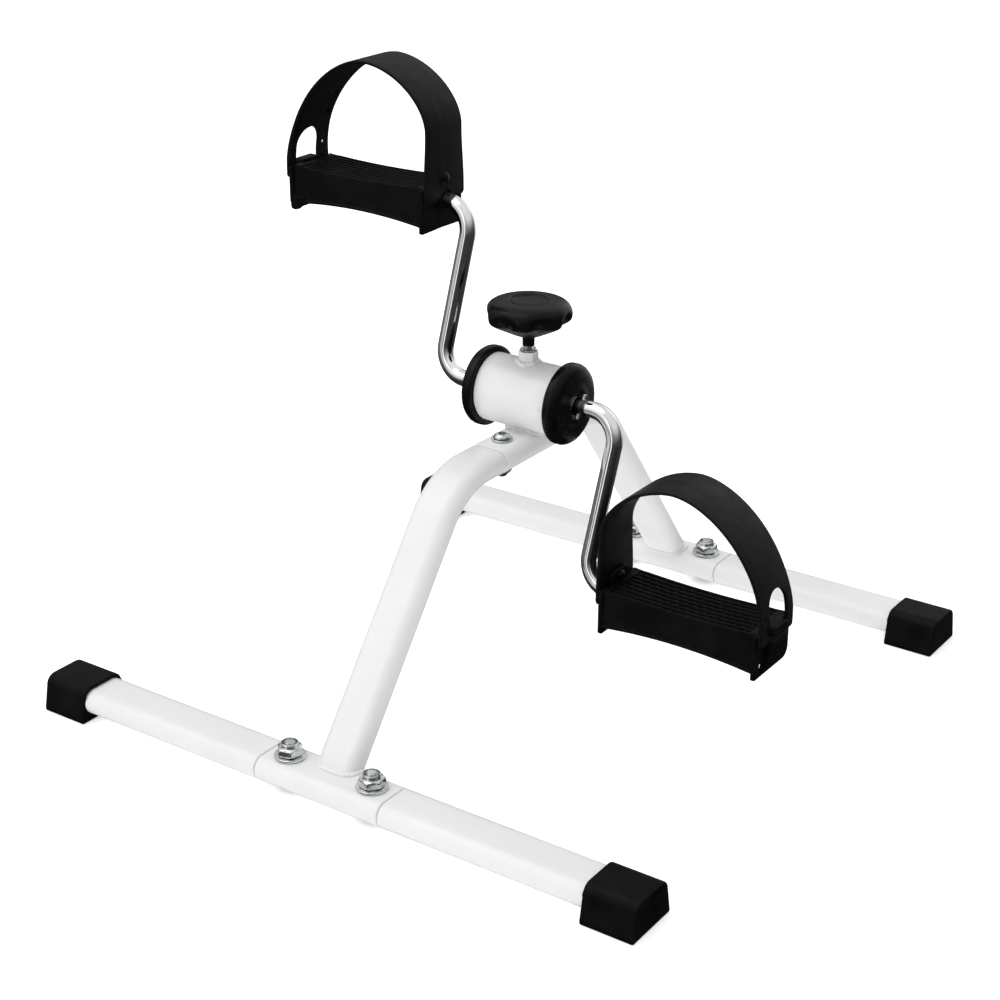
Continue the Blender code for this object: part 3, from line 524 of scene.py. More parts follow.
def nylon():
    made = new_material("nylon", 0.42, specular=0.4)
    shader = made.node_tree.nodes["Principled BSDF"]
    shader.inputs["Subsurface Weight"].default_value = 0.15
    shader.inputs["Subsurface Scale"].default_value = 0.002
    colour_from(made, place_noise(made, 130, 4), ((0.7, 0.68, 0.6), (0.82, 0.8, 0.73)))
    vary_roughness(made, place_noise(made, 500, 3), 0.36, 0.5)
    return made


def felt():
    """Pressed wool: matted fibres and a soft sheen."""
    made = new_material("felt", 0.95, specular=0.1)
    shader = made.node_tree.nodes["Principled BSDF"]
    shader.inputs["Sheen Weight"].default_value = 0.35
    fibres = place_noise(made, 2200, 6, (1, 0.25, 1), 0.7)
    colour_from(made, fibres, ((0.2, 0.18, 0.16), (0.42, 0.39, 0.35)))
    bumped(made, [(fibres, 0.00025)])
    return made


FINISH = {
    "powder_coat_white": powder_coat(),
    "foot_cap_black": moulded("cap_vinyl", (0.002, 0.002, 0.0024), (0.0055, 0.0055, 0.0062),
                              0.42, 900, 0.00002),
    "pedal_black": moulded("pedal_plastic", (0.0018, 0.0018, 0.0018), (0.0048, 0.0048, 0.0048),
                           0.44, 1300, 0.00003),
    "moulded_black": moulded("knob_plastic", (0.0018, 0.0018, 0.002), (0.005, 0.005, 0.0055),
                             0.26, 1500, 0.00002, specular=0.12),
    "strap_black": strap_vinyl(),
    "chrome_rod": chrome(),
    "zinc_fastener": zinc(),
    "plain_steel": steel(),
    "nylon_natural": nylon(),
    "brake_felt": felt(),
}

# ---- pieces


def piece(name, shapes, slot, node, place=None, crease=38):
    """One visible piece, which stands for a CAD node."""
    mesh = mesh_of(name, shapes)
    if place is not None:
        mesh.transform(place)
    mesh.shade_smooth()
    mesh.set_sharp_from_angle(angle=radians(crease))
    mesh.materials.append(FINISH[slot])
    item = linked(name, mesh)
    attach(item, BODY_OF[node])
    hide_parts(node)


def keep(node, slot):
    """A CAD node whose shape is right gets only its material."""
    item = frame["nodes"][node]
    for place in item.material_slots:
        place.material = FINISH[slot]


# ---- foot bars


def bar_solid(start, end, middle, shrink=0.0):
    """A flat oval bar along X."""
    way = 1 if end > start else -1
    rings = []
    for distance, amount in eased(abs(end - start), EDGE):
        x = start + way * distance
        rings.append([(x, middle.y + y, middle.z + z) for y, z in oval(TUBE, shrink + amount)])
    return skin(rings)


def tube_reach(angle, grow):
    """Distance from a foot tube's axis to its outline, moved outwards by grow."""
    radius = TUBE[1] / 2 + grow
    side = (TUBE[0] - TUBE[1]) / 2
    rise, run = abs(sin(angle)), abs(cos(angle))
    if rise * side < radius * run:
        return side * run + sqrt(radius ** 2 - (side * rise) ** 2)
    return radius / rise


def loaf():
    """Outline of a foot cap seen along X: upright kerb, leaning sides and a round-shouldered top."""
    low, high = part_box("front_foot_cap_left")
    base = (high.y - low.y) / 2
    kerb = [(base - 0.0008, 0), (base - 0.0002, 0.0002), (base, 0.0008), (base, 0.0026)]
    kerb.append((base - 0.0003, 0.0034))
    return mirrored(kerb + arc((CAP_TOP_HALF - CAP_CROWN, high.z - CAP_CROWN), CAP_CROWN, 8, 90, 12))


def socket_ring(x, middle, outline, grow):
    """A ring of the cap's socket, with one point facing each point of the cap's outline."""
    ring = []
    for y, z in outline:
        angle = atan2(z - middle.z, y)
        reach = tube_reach(angle, grow)
        ring.append((x, middle.y + reach * cos(angle), middle.z + reach * sin(angle)))
    return ring


def foot_cap(end, side, sign):
    node = f"{end}_foot_cap_{side}"
    mouth, outer = outer_x(node, -sign), outer_x(node, sign)
    outline, middle = loaf(), BAR[end]
    rings = []
    for depth, grow in ((0.022, 0.0001), (0.0011, 0.0001), (0.0003, 0.0004), (0.0, 0.0011)):
        rings.append(socket_ring(mouth + sign * depth, middle, outline, grow))
    for distance, amount in eased(abs(outer - mouth), CAP_EDGE, 5):
        x = mouth + sign * distance
        rings.append([(x, middle.y + y, z) for y, z in inset(outline, amount)])
    piece(f"{node}_shoe", [skin(rings)], "foot_cap_black", node, crease=50)


def foot_bar(end):
    middle = BAR[end]
    piece(f"{end}_sleeve_tube", [bar_solid(-SLEEVE_HALF, SLEEVE_HALF, middle)],
          "powder_coat_white", f"{end}_sleeve")
    for side, sign in SIDES:
        node = f"{end}_foot_tube_{side}"
        shoulder, plug = sign * (SLEEVE_HALF + SEAM), sign * PLUG_HALF["foot"]
        tube = bar_solid(shoulder, outer_x(node, sign), middle)
        root = bar_solid(shoulder - plug, shoulder + plug, middle, PLUG_INSET)
        piece(f"{node}_tube", [tube, root], "powder_coat_white", node)
        foot_cap(end, side, sign)


# ---- fasteners


def hexagon_reach(angle, across_flats):
    folded = (angle + pi / 6) % (pi / 3) - pi / 6
    return across_flats / 2 / cos(folded)


def hexed(profile, across_flats, steps=96):
    """Rings through (radius, height) points, each cut back to a hexagon where it is wider."""
    return rings_round(profile, steps, lambda row, angle: min(row[0], hexagon_reach(angle, across_flats)))


def lock_nut(node, size, place):
    """A nylon-insert nut: chamfered hexagon, rolled collar and the ring inside it."""
    across_flats, height, bore = size
    flat = across_flats / 2
    corner = flat / cos(pi / 6)
    top = extent(node).z
    profile = [(bore, 0.0), (flat * 0.96, 0.0), (flat * 1.03, 0.0003), (corner * 0.985, 0.0009)]
    profile += [(corner, 0.0013), (corner, height - 0.0016), (corner * 0.985, height - 0.0011)]
    profile += [(flat * 1.04, height - 0.0004), (flat * 0.98, height - 0.0001), (flat * 0.9, height)]
    profile += [(flat * 0.83, height + 0.0002), (flat * 0.79, height + 0.0007)]
    profile += [(flat * 0.77, top - 0.0011), (flat * 0.73, top - 0.0004), (flat * 0.68, top)]
    profile += [(flat * 0.66, top - 0.0002), (bore + 0.0001, top - 0.0014), (bore, top - 0.0024)]
    piece(f"{node}_lock", [skin(hexed(profile, across_flats), loop=True)], "zinc_fastener", node, place)


def washer(node, bore):
    low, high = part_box(node)
    thickness = high.z - low.z
    ring = collar(bore, (high.x - low.x) / 2, 0, thickness, thickness * 0.3, 72)
    piece(f"{node}_plate", [ring], "zinc_fastener", node, upright(node, low.z))


def threaded(radius, low, high, pitch, depth, steps=40):
    """A screw thread with pointed crests and round roots, eased at both ends."""
    rows = max(2, round((high - low) / (pitch / 8)))

    def reach(row, angle):
        height = row[-1]
        ease = min(1.0, (height - low) / pitch, (high - height) / pitch)
        groove = 0.5 + 0.5 * cos(2 * pi * height / pitch - angle)
        return radius - depth * groove ** 1.4 * ease - 0.0004 * (1 - ease)

    return skin(rings_round([(radius, height) for height in span(low, high, rows)], steps, reach))


def foot_bolt(node):
    """A domed head under the sleeve; the threaded end stands in the nut's collar."""
    low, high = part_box(node)
    seat = low.z + FOOT_BOLT_HEAD
    tip = high.z - seat
    profile = [(0.0006, -0.0017), (0.0046, -0.0017), (0.0066, -0.0013), (0.0078, -0.0007)]
    profile += [(0.008, -0.0003), (0.0079, 0.0), (0.0041, 0.0), (0.0039, 0.0004)]
    profile += [(0.0039, tip - 0.003), (0.003, tip - 0.0022), (0.0029, tip - 0.0006), (0.0024, tip)]
    thread = threaded(0.004, tip - 0.011, tip - 0.0026, 0.00125, 0.0006)
    piece(f"{node}_stud", [spun(profile, 48), thread], "zinc_fastener", node, upright(node, seat))


def foot_fasteners():
    for end in ENDS:
        for side, sign in SIDES:
            washer(f"{end}_washer_{side}", 0.0043)
            nut = f"{end}_nut_{side}"
            turned = upright(nut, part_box(nut)[0].z) @ Matrix.Rotation(sign * NUT_TURN, 4, "Z")
            lock_nut(nut, FOOT_NUT, turned)
            foot_bolt(f"{end}_bolt_{side}")


def joint_bolt():
    """A button head with a hexagonal socket, on a bolt through the top tube."""
    low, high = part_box("joint_bolt")
    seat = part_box("joint_washer")[1].z + FIT
    rise, tip = high.z - seat, low.z - seat
    profile = [(0.0024, tip), (0.0029, tip + 0.0006), (0.0029, -0.0002), (0.003, 0.0), (0.0048, 0.0)]
    profile += [(0.005, 0.0003), (0.0049, rise - 0.0016), (0.0045, rise - 0.0009)]
    profile += [(0.0038, rise - 0.0003), (0.0032, rise)]
    socket = [(SOCKET_FLATS, rise - 0.0001), (SOCKET_FLATS, rise - SOCKET_DEPTH)]
    button = skin(rings_round(profile, 48) + hexed(socket, SOCKET_FLATS, 48))
    thread = threaded(0.003, tip + 0.0004, tip + 0.009, 0.001, 0.0005)
    piece("joint_bolt_button", [button, thread], "zinc_fastener", "joint_bolt",
          upright("joint_washer", seat))


def joint_fasteners():
    washer("joint_washer", 0.0033)
    under = upright("joint_washer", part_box("joint_nut")[1].z) @ Matrix.Rotation(pi, 4, "X")
    lock_nut("joint_nut", JOINT_NUT, under)
    joint_bolt()


# ---- frame tubes


def rounded_path(corners, radius, steps=26):
    """A polyline in which each inner corner is an arc."""
    path = [Vector(corners[0])]
    for before, corner, after in zip(corners, corners[1:], corners[2:]):
        corner = Vector(corner)
        back = (Vector(before) - corner).normalized()
        ahead = (Vector(after) - corner).normalized()
        half = back.angle(ahead) / 2
        middle = corner + (back + ahead).normalized() * radius / sin(half)
        first = (corner + back * radius / tan(half)) - middle
        axis = first.cross(-back)
        for swing in span(0.0, pi - 2 * half, steps):
            path.append(middle + Matrix.Rotation(swing, 3, axis) @ first)
    path.append(Vector(corners[-1]))
    return path


def bent_bar(path, section, edge, side):
    """A bar along a path; section(amount) is its outline inset by amount, and its last end is eased."""
    end = path.pop()
    way = (end - path[-1]).normalized()
    sections = [section(0.0)] * len(path)
    for distance, amount in reversed(eased_start(edge)):
        path.append(end - way * distance)
        sections.append(section(amount))
    return swept(path, sections, side)


def leg_line(end, seam):
    return [(0, LEG_FOOT[end], LEG_FOOT_Z), (0, KNEE[end], TOP_Z), (0, seam, TOP_Z)]


def leg_tube(line, section):
    return bent_bar(rounded_path(line, LEG_BEND), lambda amount: oval(section, amount), EDGE, (1, 0, 0))


def outside_bar(place, middle):
    """True if a point is outside of a foot bar's section."""
    across = max(abs(place.y - middle.y) - (TUBE[0] - TUBE[1]) / 2, 0.0)
    return hypot(across, place.z - middle.z) > TUBE[1] / 2


def seat_line(line, section, end):
    """Where a leg meets its sleeve, as a closed line of points."""
    foot, knee = Vector(line[0]), Vector(line[1])
    way = (knee - foot).normalized()
    side = Vector((1, 0, 0))
    up = way.cross(side)
    seat = []
    for x, y in oval(section, steps=14):
        low, high = 0.0, 0.05
        start = foot + side * x + up * y
        for _ in range(24):
            half = (low + high) / 2
            if outside_bar(start + way * half, BAR[end]):
                high = half
            else:
                low = half
        seat.append(start + way * high)
    return seat


def denser(line, parts=4):
    made = []
    for i, place in enumerate(line):
        after = line[(i + 1) % len(line)]
        if (after - place).length > 1e-6:
            made += [place.lerp(after, k / parts) for k in range(parts)]
    return made


def bead(line, radius, pitch=0.0024, seed=0.0):
    """A weld bead along a closed line, with the soft ripple that the paint leaves."""
    sections = []
    run = 0.0
    for i, place in enumerate(line):
        run += (place - line[i - 1]).length if i else 0.0
        ripple = 0.06 * cos(2 * pi * run / pitch)
        wander = 0.12 * noise.noise(place * 160 + Vector((seed, 0, 0)))
        sections.append(circle(radius * (1 + ripple + wander), 14))
    return swept(line, sections, (0, 0.2, 1), loop=True)


def saddle_bead():
    """The weld between the crank housing and the top tube."""
    radius = WELD * 1.15
    lift = radius * 0.35
    reach = extent("housing_shell").z / 2 + lift
    flat = (TOP_SECTION[0] - TOP_SECTION[1]) / 2
    line = []
    for angle in angles(120):
        x = SADDLE_HALF * sin(angle)
        over = max(abs(x) - flat, 0.0)
        z = TOP_Z + sqrt((TOP_SECTION[1] / 2 + lift) ** 2 - over ** 2)
        y = sqrt(max(reach ** 2 - (z - AXLE.z) ** 2, 0.0))
        line.append(Vector((x, AXLE.y + copysign(y, cos(angle)), z)))
    return bead(line, radius, seed=3.0)


def legs():
    front, rear = leg_line("front", JOINT_Y - SEAM), leg_line("rear", JOINT_Y)
    plug_ends = [Vector((0, JOINT_Y + way * PLUG_HALF["leg"], TOP_Z)) for way in (-1, 1)]
    plug = swept(plug_ends, oval(LEG_SECTION, PLUG_INSET), (1, 0, 0))
    front_bead = bead(denser(seat_line(front, LEG_SECTION, "front")), WELD)
    rear_bead = bead(denser(seat_line(rear, TOP_SECTION, "rear")), WELD, seed=7.0)
    piece("front_leg_tube", [leg_tube(front, LEG_SECTION), plug, front_bead],
          "powder_coat_white", "front_leg")
    piece("top_tube_bend", [leg_tube(rear, TOP_SECTION), rear_bead, saddle_bead()],
          "powder_coat_white", "top_tube")


# ---- crank housing


def housing():
    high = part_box("housing_shell")[1]
    radius = extent("housing_shell").z / 2
    shell = collar(radius - 0.002, radius, -high.x, high.x, 0.0004, 144)
    piece("housing_tube", [shell], "powder_coat_white", "housing_shell", outward(1, AXLE))


def tension_boss():
    """The hexagonal nut welded on the housing, and the threaded insert that stands in it."""
    housing_radius = extent("housing_shell").z / 2 + FIT
    flats = extent("tension_boss").x
    corner = flats / 2 / cos(pi / 6)
    bore = 0.0045
    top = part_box("tension_boss")[1].z
    rise = top - AXLE.z
    boss = [(bore, rise - 0.007), (corner, rise - 0.007), (corner, rise - 0.0006)]
    boss += [(corner * 0.97, rise - 0.0002), (flats / 2 * 0.98, rise), (bore + 0.0002, rise)]
    boss.append((bore, rise - 0.0002))
    line = []
    for angle in angles(96):
        reach = hexagon_reach(angle, flats) + FIT
        x, y = reach * cos(angle), reach * sin(angle)
        line.append(Vector((x, y, sqrt(housing_radius ** 2 - y ** 2))))
    shapes = [skin(hexed(boss, flats), loop=True), bead(line, WELD, seed=11.0)]
    piece("tension_boss_nut", shapes, "powder_coat_white", "tension_boss", AT(AXLE))
    flange = extent("thread_insert").x / 2
    ring = [(0.0033, -0.005), (0.0042, -0.005), (0.0042, FIT), (flange - 0.0002, FIT), (flange, 0.0006)]
    ring += [(flange, 0.0012), (flange - 0.0003, 0.0015), (0.0037, 0.0015), (0.0033, 0.0011)]
    piece("thread_insert_ring", [spun(ring, 64, loop=True)], "zinc_fastener", "thread_insert",
          upright("friction_drum", top))


def end_cap(side, sign):
    """Domed black cap: rolled rim, sloping face and a flat hub round the rod."""
    node = f"end_cap_{side}"
    half = extent("housing_shell").x / 2
    rim = extent(node).z / 2
    face = sign * outer_x(node, sign)
    hole = ROD_RADIUS + 2 * FIT
    profile = [(hole, face - 0.006), (hole, face - 0.0004), (hole + 0.0004, face)]
    profile += [(0.0095, face), (0.0105, face - 0.0001), (0.0115, face - 0.0004), (0.015, face - 0.0007)]
    profile += [(0.018, face - 0.0011), (0.0205, face - 0.0018), (0.0222, face - 0.0029)]
    profile += [(rim - 0.0004, face - 0.0043), (rim, face - 0.0056), (rim, half + 0.0012)]
    profile += [(rim - 0.0002, half + 0.0006), (rim - 0.0008, half + FIT), (0.0178, half + FIT)]
    profile += [(0.0176, half - 0.008), (0.015, half - 0.008)]
    piece(f"{node}_dome", [spun(profile, 144, loop=True)], "moulded_black", node,
          outward(sign, AXLE), crease=46)


# ---- crank


def crank_rod(side, sign):
    node, spindle = f"crank_{side}", SPINDLE[side]
    corners = [(sign * 2 * FIT, AXLE.y, AXLE.z), (sign * ARM_HUB_X, AXLE.y, AXLE.z)]
    corners += [(x, spindle.y, spindle.z) for x in (sign * ARM_PEDAL_X, outer_x(node, sign))]
    rod = bent_bar(rounded_path(corners, ROD_BEND, 30), lambda amount: circle(ROD_RADIUS - amount, 44),
                   ROD_EDGE, (0, 0, 1))
    piece(f"{node}_rod", [rod], "chrome_rod", node)


def retaining_pin(node):
    """A slotted spring pin through the rod."""
    half = PIN_HALF
    pin = [(0.0006, -half), (0.001, -half), (0.0014, 0.0005 - half), (0.0014, half - 0.0005)]
    pin += [(0.001, half), (0.0006, half)]
    slot = [(-0.0002, -0.002), (0.0002, -0.002), (0.0002, 0), (-0.0002, 0)]
    cutter = plate(slot, 0.02, CUT_EDGE, AT((0, 0, -0.01)))
    lean = Vector((0, cos(PIN_LEAN), sin(PIN_LEAN)))
    turn = Vector((0, 0, 1)).rotation_difference(lean).to_matrix().to_4x4()
    piece(f"{node}_roll", [carved(spun(pin, 40), [cutter])], "plain_steel", node, AT(centre(node)) @ turn)


# ---- knob


def smooth_line(points, steps=5):
    """A Catmull-Rom curve through points of any length."""
    made = []
    rows = [Vector(point) for point in points]
    for i in range(len(rows) - 1):
        a, b = rows[max(i - 1, 0)], rows[i]
        c, d = rows[i + 1], rows[min(i + 2, len(rows) - 1)]
        for t in span(0.0, 1.0, steps)[:-1]:
            made.append(0.5 * ((2 * b) + (c - a) * t + (2 * a - 5 * b + 4 * c - d) * t * t
                               + (3 * b - 3 * c + d - a) * t ** 3))
    return made + [rows[-1]]


def knob():
    """Seven soft lobes with finger hollows that run in under the rim.

    A row is the radius, the depth of the hollows and the height from the knob's top face.
    """
    low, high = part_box("knob_body")
    foot = low.z - high.z
    recess = extent("knob_cap").x / 2 + FIT
    rows = [(0.0035, 0, foot), (0.0035, 0, foot + 0.004), (0.0042, 0.0001, foot + 0.0052)]
    rows += [(0.008, 0.0004, -0.0202), (0.0148, 0.0016, -0.0169), (0.0206, 0.0034, -0.014)]
    rows += [(0.0237, 0.0042, -0.0121), (0.0247, 0.0038, -0.0099), (0.0248, 0.0024, -0.0075)]
    rows += [(0.0243, 0.001, -0.0053), (0.0232, 0.0003, -0.0034), (0.0212, 0, -0.0018)]
    rows += [(0.018, 0, -0.0007), (0.015, 0, -0.0002), (0.0126, 0, 0)]
    rows = smooth_line(rows) + [(recess + 0.0008, 0, 0), (recess + 0.0002, 0, -0.0003)]
    rows += [(recess, 0, -0.0005), (recess - 0.0001, 0, -KNOB_RECESS)]

    def reach(row, angle):
        wave = 0.5 + 0.5 * cos(KNOB_LOBES * (angle - KNOB_FLUTE_ANGLE))
        return row[0] - max(row[1], 0.0) * wave ** 1.3

    piece("knob_grip", [skin(rings_round(rows, 196, reach))], "moulded_black", "knob_body",
          upright("friction_drum", high.z), crease=60)


def knob_cap():
    low, high = (corner.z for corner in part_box("knob_cap"))
    radius = extent("knob_cap").x / 2
    disc = [(radius - 0.0001, low), (radius, low + 0.0002), (radius, high - 0.0002)]
    disc += [(radius - 0.0003, high), (radius - 0.0014, high), (radius - 0.0018, high - 0.0003)]
    disc.append((0.003, high - 0.0001))
    piece("knob_cap_disc", [spun(disc, 96)], "moulded_black", "knob_cap", upright("friction_drum", 0))


def tension_screw():
    low, high = (corner.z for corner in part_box("tension_screw"))
    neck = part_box("knob_body")[0].z
    thread = threaded(SCREW_RADIUS, low + 0.0006, neck - 0.0003, SCREW_PITCH, 0.00045)
    tip = [(0.0016, low), (0.0024, low + 0.0003), (0.0026, low + 0.0012)]
    shank = [(0.0025, neck - 0.001), (0.0025, high - 0.0004), (0.0021, high)]
    piece("tension_screw_thread", [thread, spun(tip, 40), spun(shank, 40)], "zinc_fastener",
          "tension_screw", upright("friction_drum", 0))


# ---- pedals
# Local X runs outwards from the middle of the machine and Z up, with the spindle along X at
# Y 0, Z 0. The left pedal is the right one turned half round.

PEDAL_PLACE = {side: AT((0, SPINDLE[side].y, SPINDLE[side].z))
               @ Matrix.Rotation(0 if sign > 0 else pi, 4, "Z") for side, sign in SIDES}


def dished(x):
    """1 in the middle of a pedal's length and 0 at its ends."""
    return 1 - ((x - PEDAL_MIDDLE) / PEDAL_REACH) ** 2


def tread_height(x):
    return TREAD_END - TREAD_DIP * dished(x)


def deck_shell():
    """Tread and skirts in one arched shell, open below, with a lip along the skirt."""
    lip, draft, wall = 0.0008, 0.0009, 0.0022
    rim, face = PEDAL_HALF - 0.0002, PEDAL_HALF - lip
    rings = []
    for x in span(PEDAL_INNER + 0.001, PEDAL_OUTER - 0.001, 40):
        top, low = tread_height(x), SKIRT_RISE * dished(x) - SKIRT_DEPTH
        outer = [(rim, low), (rim, low + 0.0012), (face, low + 0.002), (face - draft, top)]
        inner = [(wall - face, low), (wall - face, low + 0.0012), (wall + draft - face, top - wall)]
        outline = rounded(mirrored(outer) + mirrored(inner), 0.001, 4)
        rings.append([(x, y, z) for y, z in outline])
    return skin(rings, landings=False)


def inner_wall():
    """The wall round the spindle, as deep as its feet and with a square lower edge."""
    half, low = PEDAL_HALF, -FOOT_DEPTH
    outline = [(half, low), (half, WALL_TOP), (-half, WALL_TOP), (-half, low), (0, low + 0.0004)]
    wall = board(rounded(outline, 0.0013, 4), PEDAL_INNER, WALL, WALL_EDGE)
    return carved(wall, [drill(ROD_RADIUS + FIT, 0.02, (PEDAL_INNER, 0, 0))])


def outer_wall():
    """The outer wall: a sunk channel beside a broad panel, and one well rounded lower corner."""
    half, low, round_off = PEDAL_HALF, -FOOT_DEPTH, OUTER_CORNER
    corner = arc((half - round_off, low + round_off), round_off, 270, 360, 10)
    outline = rounded([(-half, WALL_TOP), (-half, low)] + corner + [(half, WALL_TOP)], 0.0012, 4)
    channel = rounded([(-0.0145, -0.0148), (-0.0068, -0.0148), (-0.0062, 0.005), (-0.014, 0.005)], 0.0025)
    notch = pane(-0.0122, -0.0086, -0.014, -0.01, 0.0012, 4)
    cuts = [board(channel, PEDAL_OUTER - WALL / 2, 0.01), board(notch, PEDAL_OUTER - 0.01, 0.02)]
    return carved(board(outline, PEDAL_OUTER - WALL, WALL, WALL_EDGE), cuts)


def outer_foot():
    """The skirt on the rounded side runs down into the outer foot."""
    end, low = PEDAL_OUTER, -FOOT_DEPTH
    outline = [(end - 0.011, -0.0115), (end - 0.0085, -0.0134), (end - 0.0065, low + 0.0012)]
    outline += [(end - 0.0045, low), (end - 0.0008, low + 0.0004), (end - 0.0003, low + 0.003)]
    outline += [(end - 0.0003, -0.008), (end - 0.011, -0.008)]
    outline = rounded(outline, 0.0012, 4)
    rings = []
    for depth, amount in ((0.003, 0.0), (0.0006, 0.0), (0.0003, 0.0002), (0.0001, 0.0006)):
        rings.append([(x, PEDAL_HALF - depth, z) for x, z in inset(outline, amount)])
    return skin(rings)


def outer_panel():
    """The swelling face of the outer wall, below the end of the strap."""
    outline = rounded([(-0.0052, -0.0135), (0.0095, -0.0142), (0.0168, -0.009), (0.0172, 0.0012),
                       (-0.0048, 0.0012)], 0.0026, 6)
    y0, z0 = PANEL_MIDDLE
    rings = []
    for share, lift in ((1.0, -0.001), (1.0, 0.0001), (0.985, 0.0007), (0.93, 0.0013), (0.8, 0.0018),
                        (0.55, 0.0021), (0.25, 0.0022)):
        rings.append([(PEDAL_OUTER + lift, y0 + (y - y0) * share, z0 + (z - z0) * share) for y, z in outline])
    return skin(rings)


def ridge(y, rows, widths, sunk, drop):
    """A bar that follows the dished tread; rows are its (X, height) and widths its half widths."""
    foot, shoulder, crest = widths
    rings = []
    for x, height in rows:
        base = tread_height(x)
        top = base + height
        outline = mirrored([(foot, base - sunk), (shoulder, top - drop), (crest, top)])
        rings.append([(x, y + across, z) for across, z in outline])
    return skin(rings)


def tread_rib(row):
    """A long rib that fades out at its ends."""
    steps = 44
    rows = []
    for k, x in enumerate(span(PEDAL_INNER + 0.0055, PEDAL_OUTER - 0.0055, steps)):
        rows.append((x, RIB_HEIGHT * min(1.0, 0.25 + min(k, steps - k) / 2)))
    y = (row - (RIB_ROWS - 1) / 2) * RIB_PITCH
    return ridge(y, rows, (0.001, 0.0007, 0.0004), 0.0004, 0.0004)


def tread_edge(way):
    """The raised rim along a long edge of the tread."""
    rows = [(x, 0.001) for x in span(PEDAL_INNER + 0.002, PEDAL_OUTER - 0.002, 40)]
    return ridge(way * (PEDAL_HALF - 0.0024), rows, (0.0008, 0.0006, 0.0002), 0.0006, 0.0003)


def tread_bridges(row):
    """Short bars between two ribs, staggered from one gap to the next."""
    middle = (row - (RIB_ROWS - 2) / 2) * RIB_PITCH
    near, far = middle - RIB_PITCH / 2, middle + RIB_PITCH / 2
    x = PEDAL_INNER + 0.0085 + (BRIDGE_PITCH / 2 if row % 2 else 0)
    shapes = []
    while x < PEDAL_OUTER - 0.008:
        base = tread_height(x) - 0.0004
        top = tread_height(x) + RIB_HEIGHT * 0.34
        rings = []
        for taper, z in ((0, base), (0.0001, top - 0.0002), (0.0004, top)):
            reach = BRIDGE_HALF - taper
            rings.append([(x - reach, near, z), (x + reach, near, z), (x + reach, far, z), (x - reach, far, z)])
        shapes.append(skin(rings, landings=False))
        x += BRIDGE_PITCH
    return shapes


def tread_margin(x):
    """The plain raised band at each end of the tread."""
    low, top = TREAD_END - 0.001, TREAD_END + 0.0003
    rings = []
    for y in span(-PEDAL_HALF + 0.0025, PEDAL_HALF - 0.0025, 12):
        rings.append([(x - 0.0022, y, low), (x - 0.0019, y, top), (x + 0.0019, y, top), (x + 0.0022, y, low)])
    return skin(rings, landings=False)


def stiffener(x):
    """A cross rib under the tread, from skirt to barrel."""
    half, top, low = PEDAL_HALF - 0.003, tread_height(x) - 0.002, -0.009
    outline = [(half, top), (-half, top), (-half, -0.004), (-0.008, low), (0.008, low), (half, -0.004)]
    body = board(rounded(outline, 0.0008, 3), x, 0.0018, 0.0003)
    return carved(body, [drill(BARREL_RADIUS - 0.0005, 0.02, (x, 0, -BARREL_DROP))])


def pedal_body(side):
    shapes = [deck_shell(), outer_wall(), outer_panel(), outer_foot(), inner_wall()]
    shapes += [tread_rib(row) for row in range(RIB_ROWS)]
    for row in range(RIB_ROWS - 1):
        shapes += tread_bridges(row)
    shapes += [tread_margin(PEDAL_INNER + 0.004), tread_margin(PEDAL_OUTER - 0.004)]
    shapes += [tread_edge(-1), tread_edge(1)]
    barrel_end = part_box("pedal_retainer_right")[0].x - FIT
    barrel = collar(ROD_RADIUS + FIT, BARREL_RADIUS, PEDAL_INNER + 0.001, barrel_end, 0.0005, 56)
    shapes.append(moved(barrel, AT((0, 0, -BARREL_DROP)) @ TO_X))
    shapes += [stiffener(x) for x in span(PEDAL_INNER + 0.022, barrel_end - 0.012, 3)]
    lug = pane(-0.009, 0.009, 0.004, 0.017, 0.0045, 6)
    shapes.append(board(lug, PEDAL_INNER + 0.0001, WALL, WALL_EDGE))
    hook = pane(-0.008, 0.008, 0.0063, 0.0113, 0.0026, 6)
    root = PEDAL_OUTER - 0.002
    shapes.append(board(hook, root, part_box("pedal_right")[1].x - root, 0.0009))
    piece(f"pedal_{side}_moulding", shapes, "pedal_black", f"pedal_{side}", PEDAL_PLACE[side])


def arch_point(foot_x, foot_z, turn):
    """A point on a quarter arch from a leg of the strap to its crown."""
    x, z = STRAP_CROWN
    return (x + (foot_x - x) * cos(turn) ** STRAP_SHOULDER,
            foot_z + (z - foot_z) * sin(turn) ** STRAP_SHOULDER)


def strap_line():
    """Outer face of the strap seen from the front, from the inner wall over to the outer one."""
    inner = PEDAL_INNER - FIT - STRAP_THICKNESS
    rise = [(inner, z) for z in span(STRAP_INNER_FOOT, STRAP_INNER_RISE, 24)]
    left = [arch_point(inner, STRAP_INNER_RISE, turn) for turn in span(0, pi / 2, 44)[1:]]
    right = [arch_point(STRAP_OUTER, STRAP_OUTER_RISE, turn) for turn in span(pi / 2, 0, 60)[1:]]
    low = [(STRAP_OUTER, z) for z in span(STRAP_OUTER_RISE, STRAP_OUTER_FOOT, 8)[1:]]
    return rise + left + right + low


def strap_half(height):
    """Half the strap's width; it widens towards its ends."""
    blend = max(0.0, min(1.0, (0.04 - height) / 0.034))
    ease = blend * blend * (3 - 2 * blend)
    return STRAP_TOP_HALF + (STRAP_END_HALF - STRAP_TOP_HALF) * ease


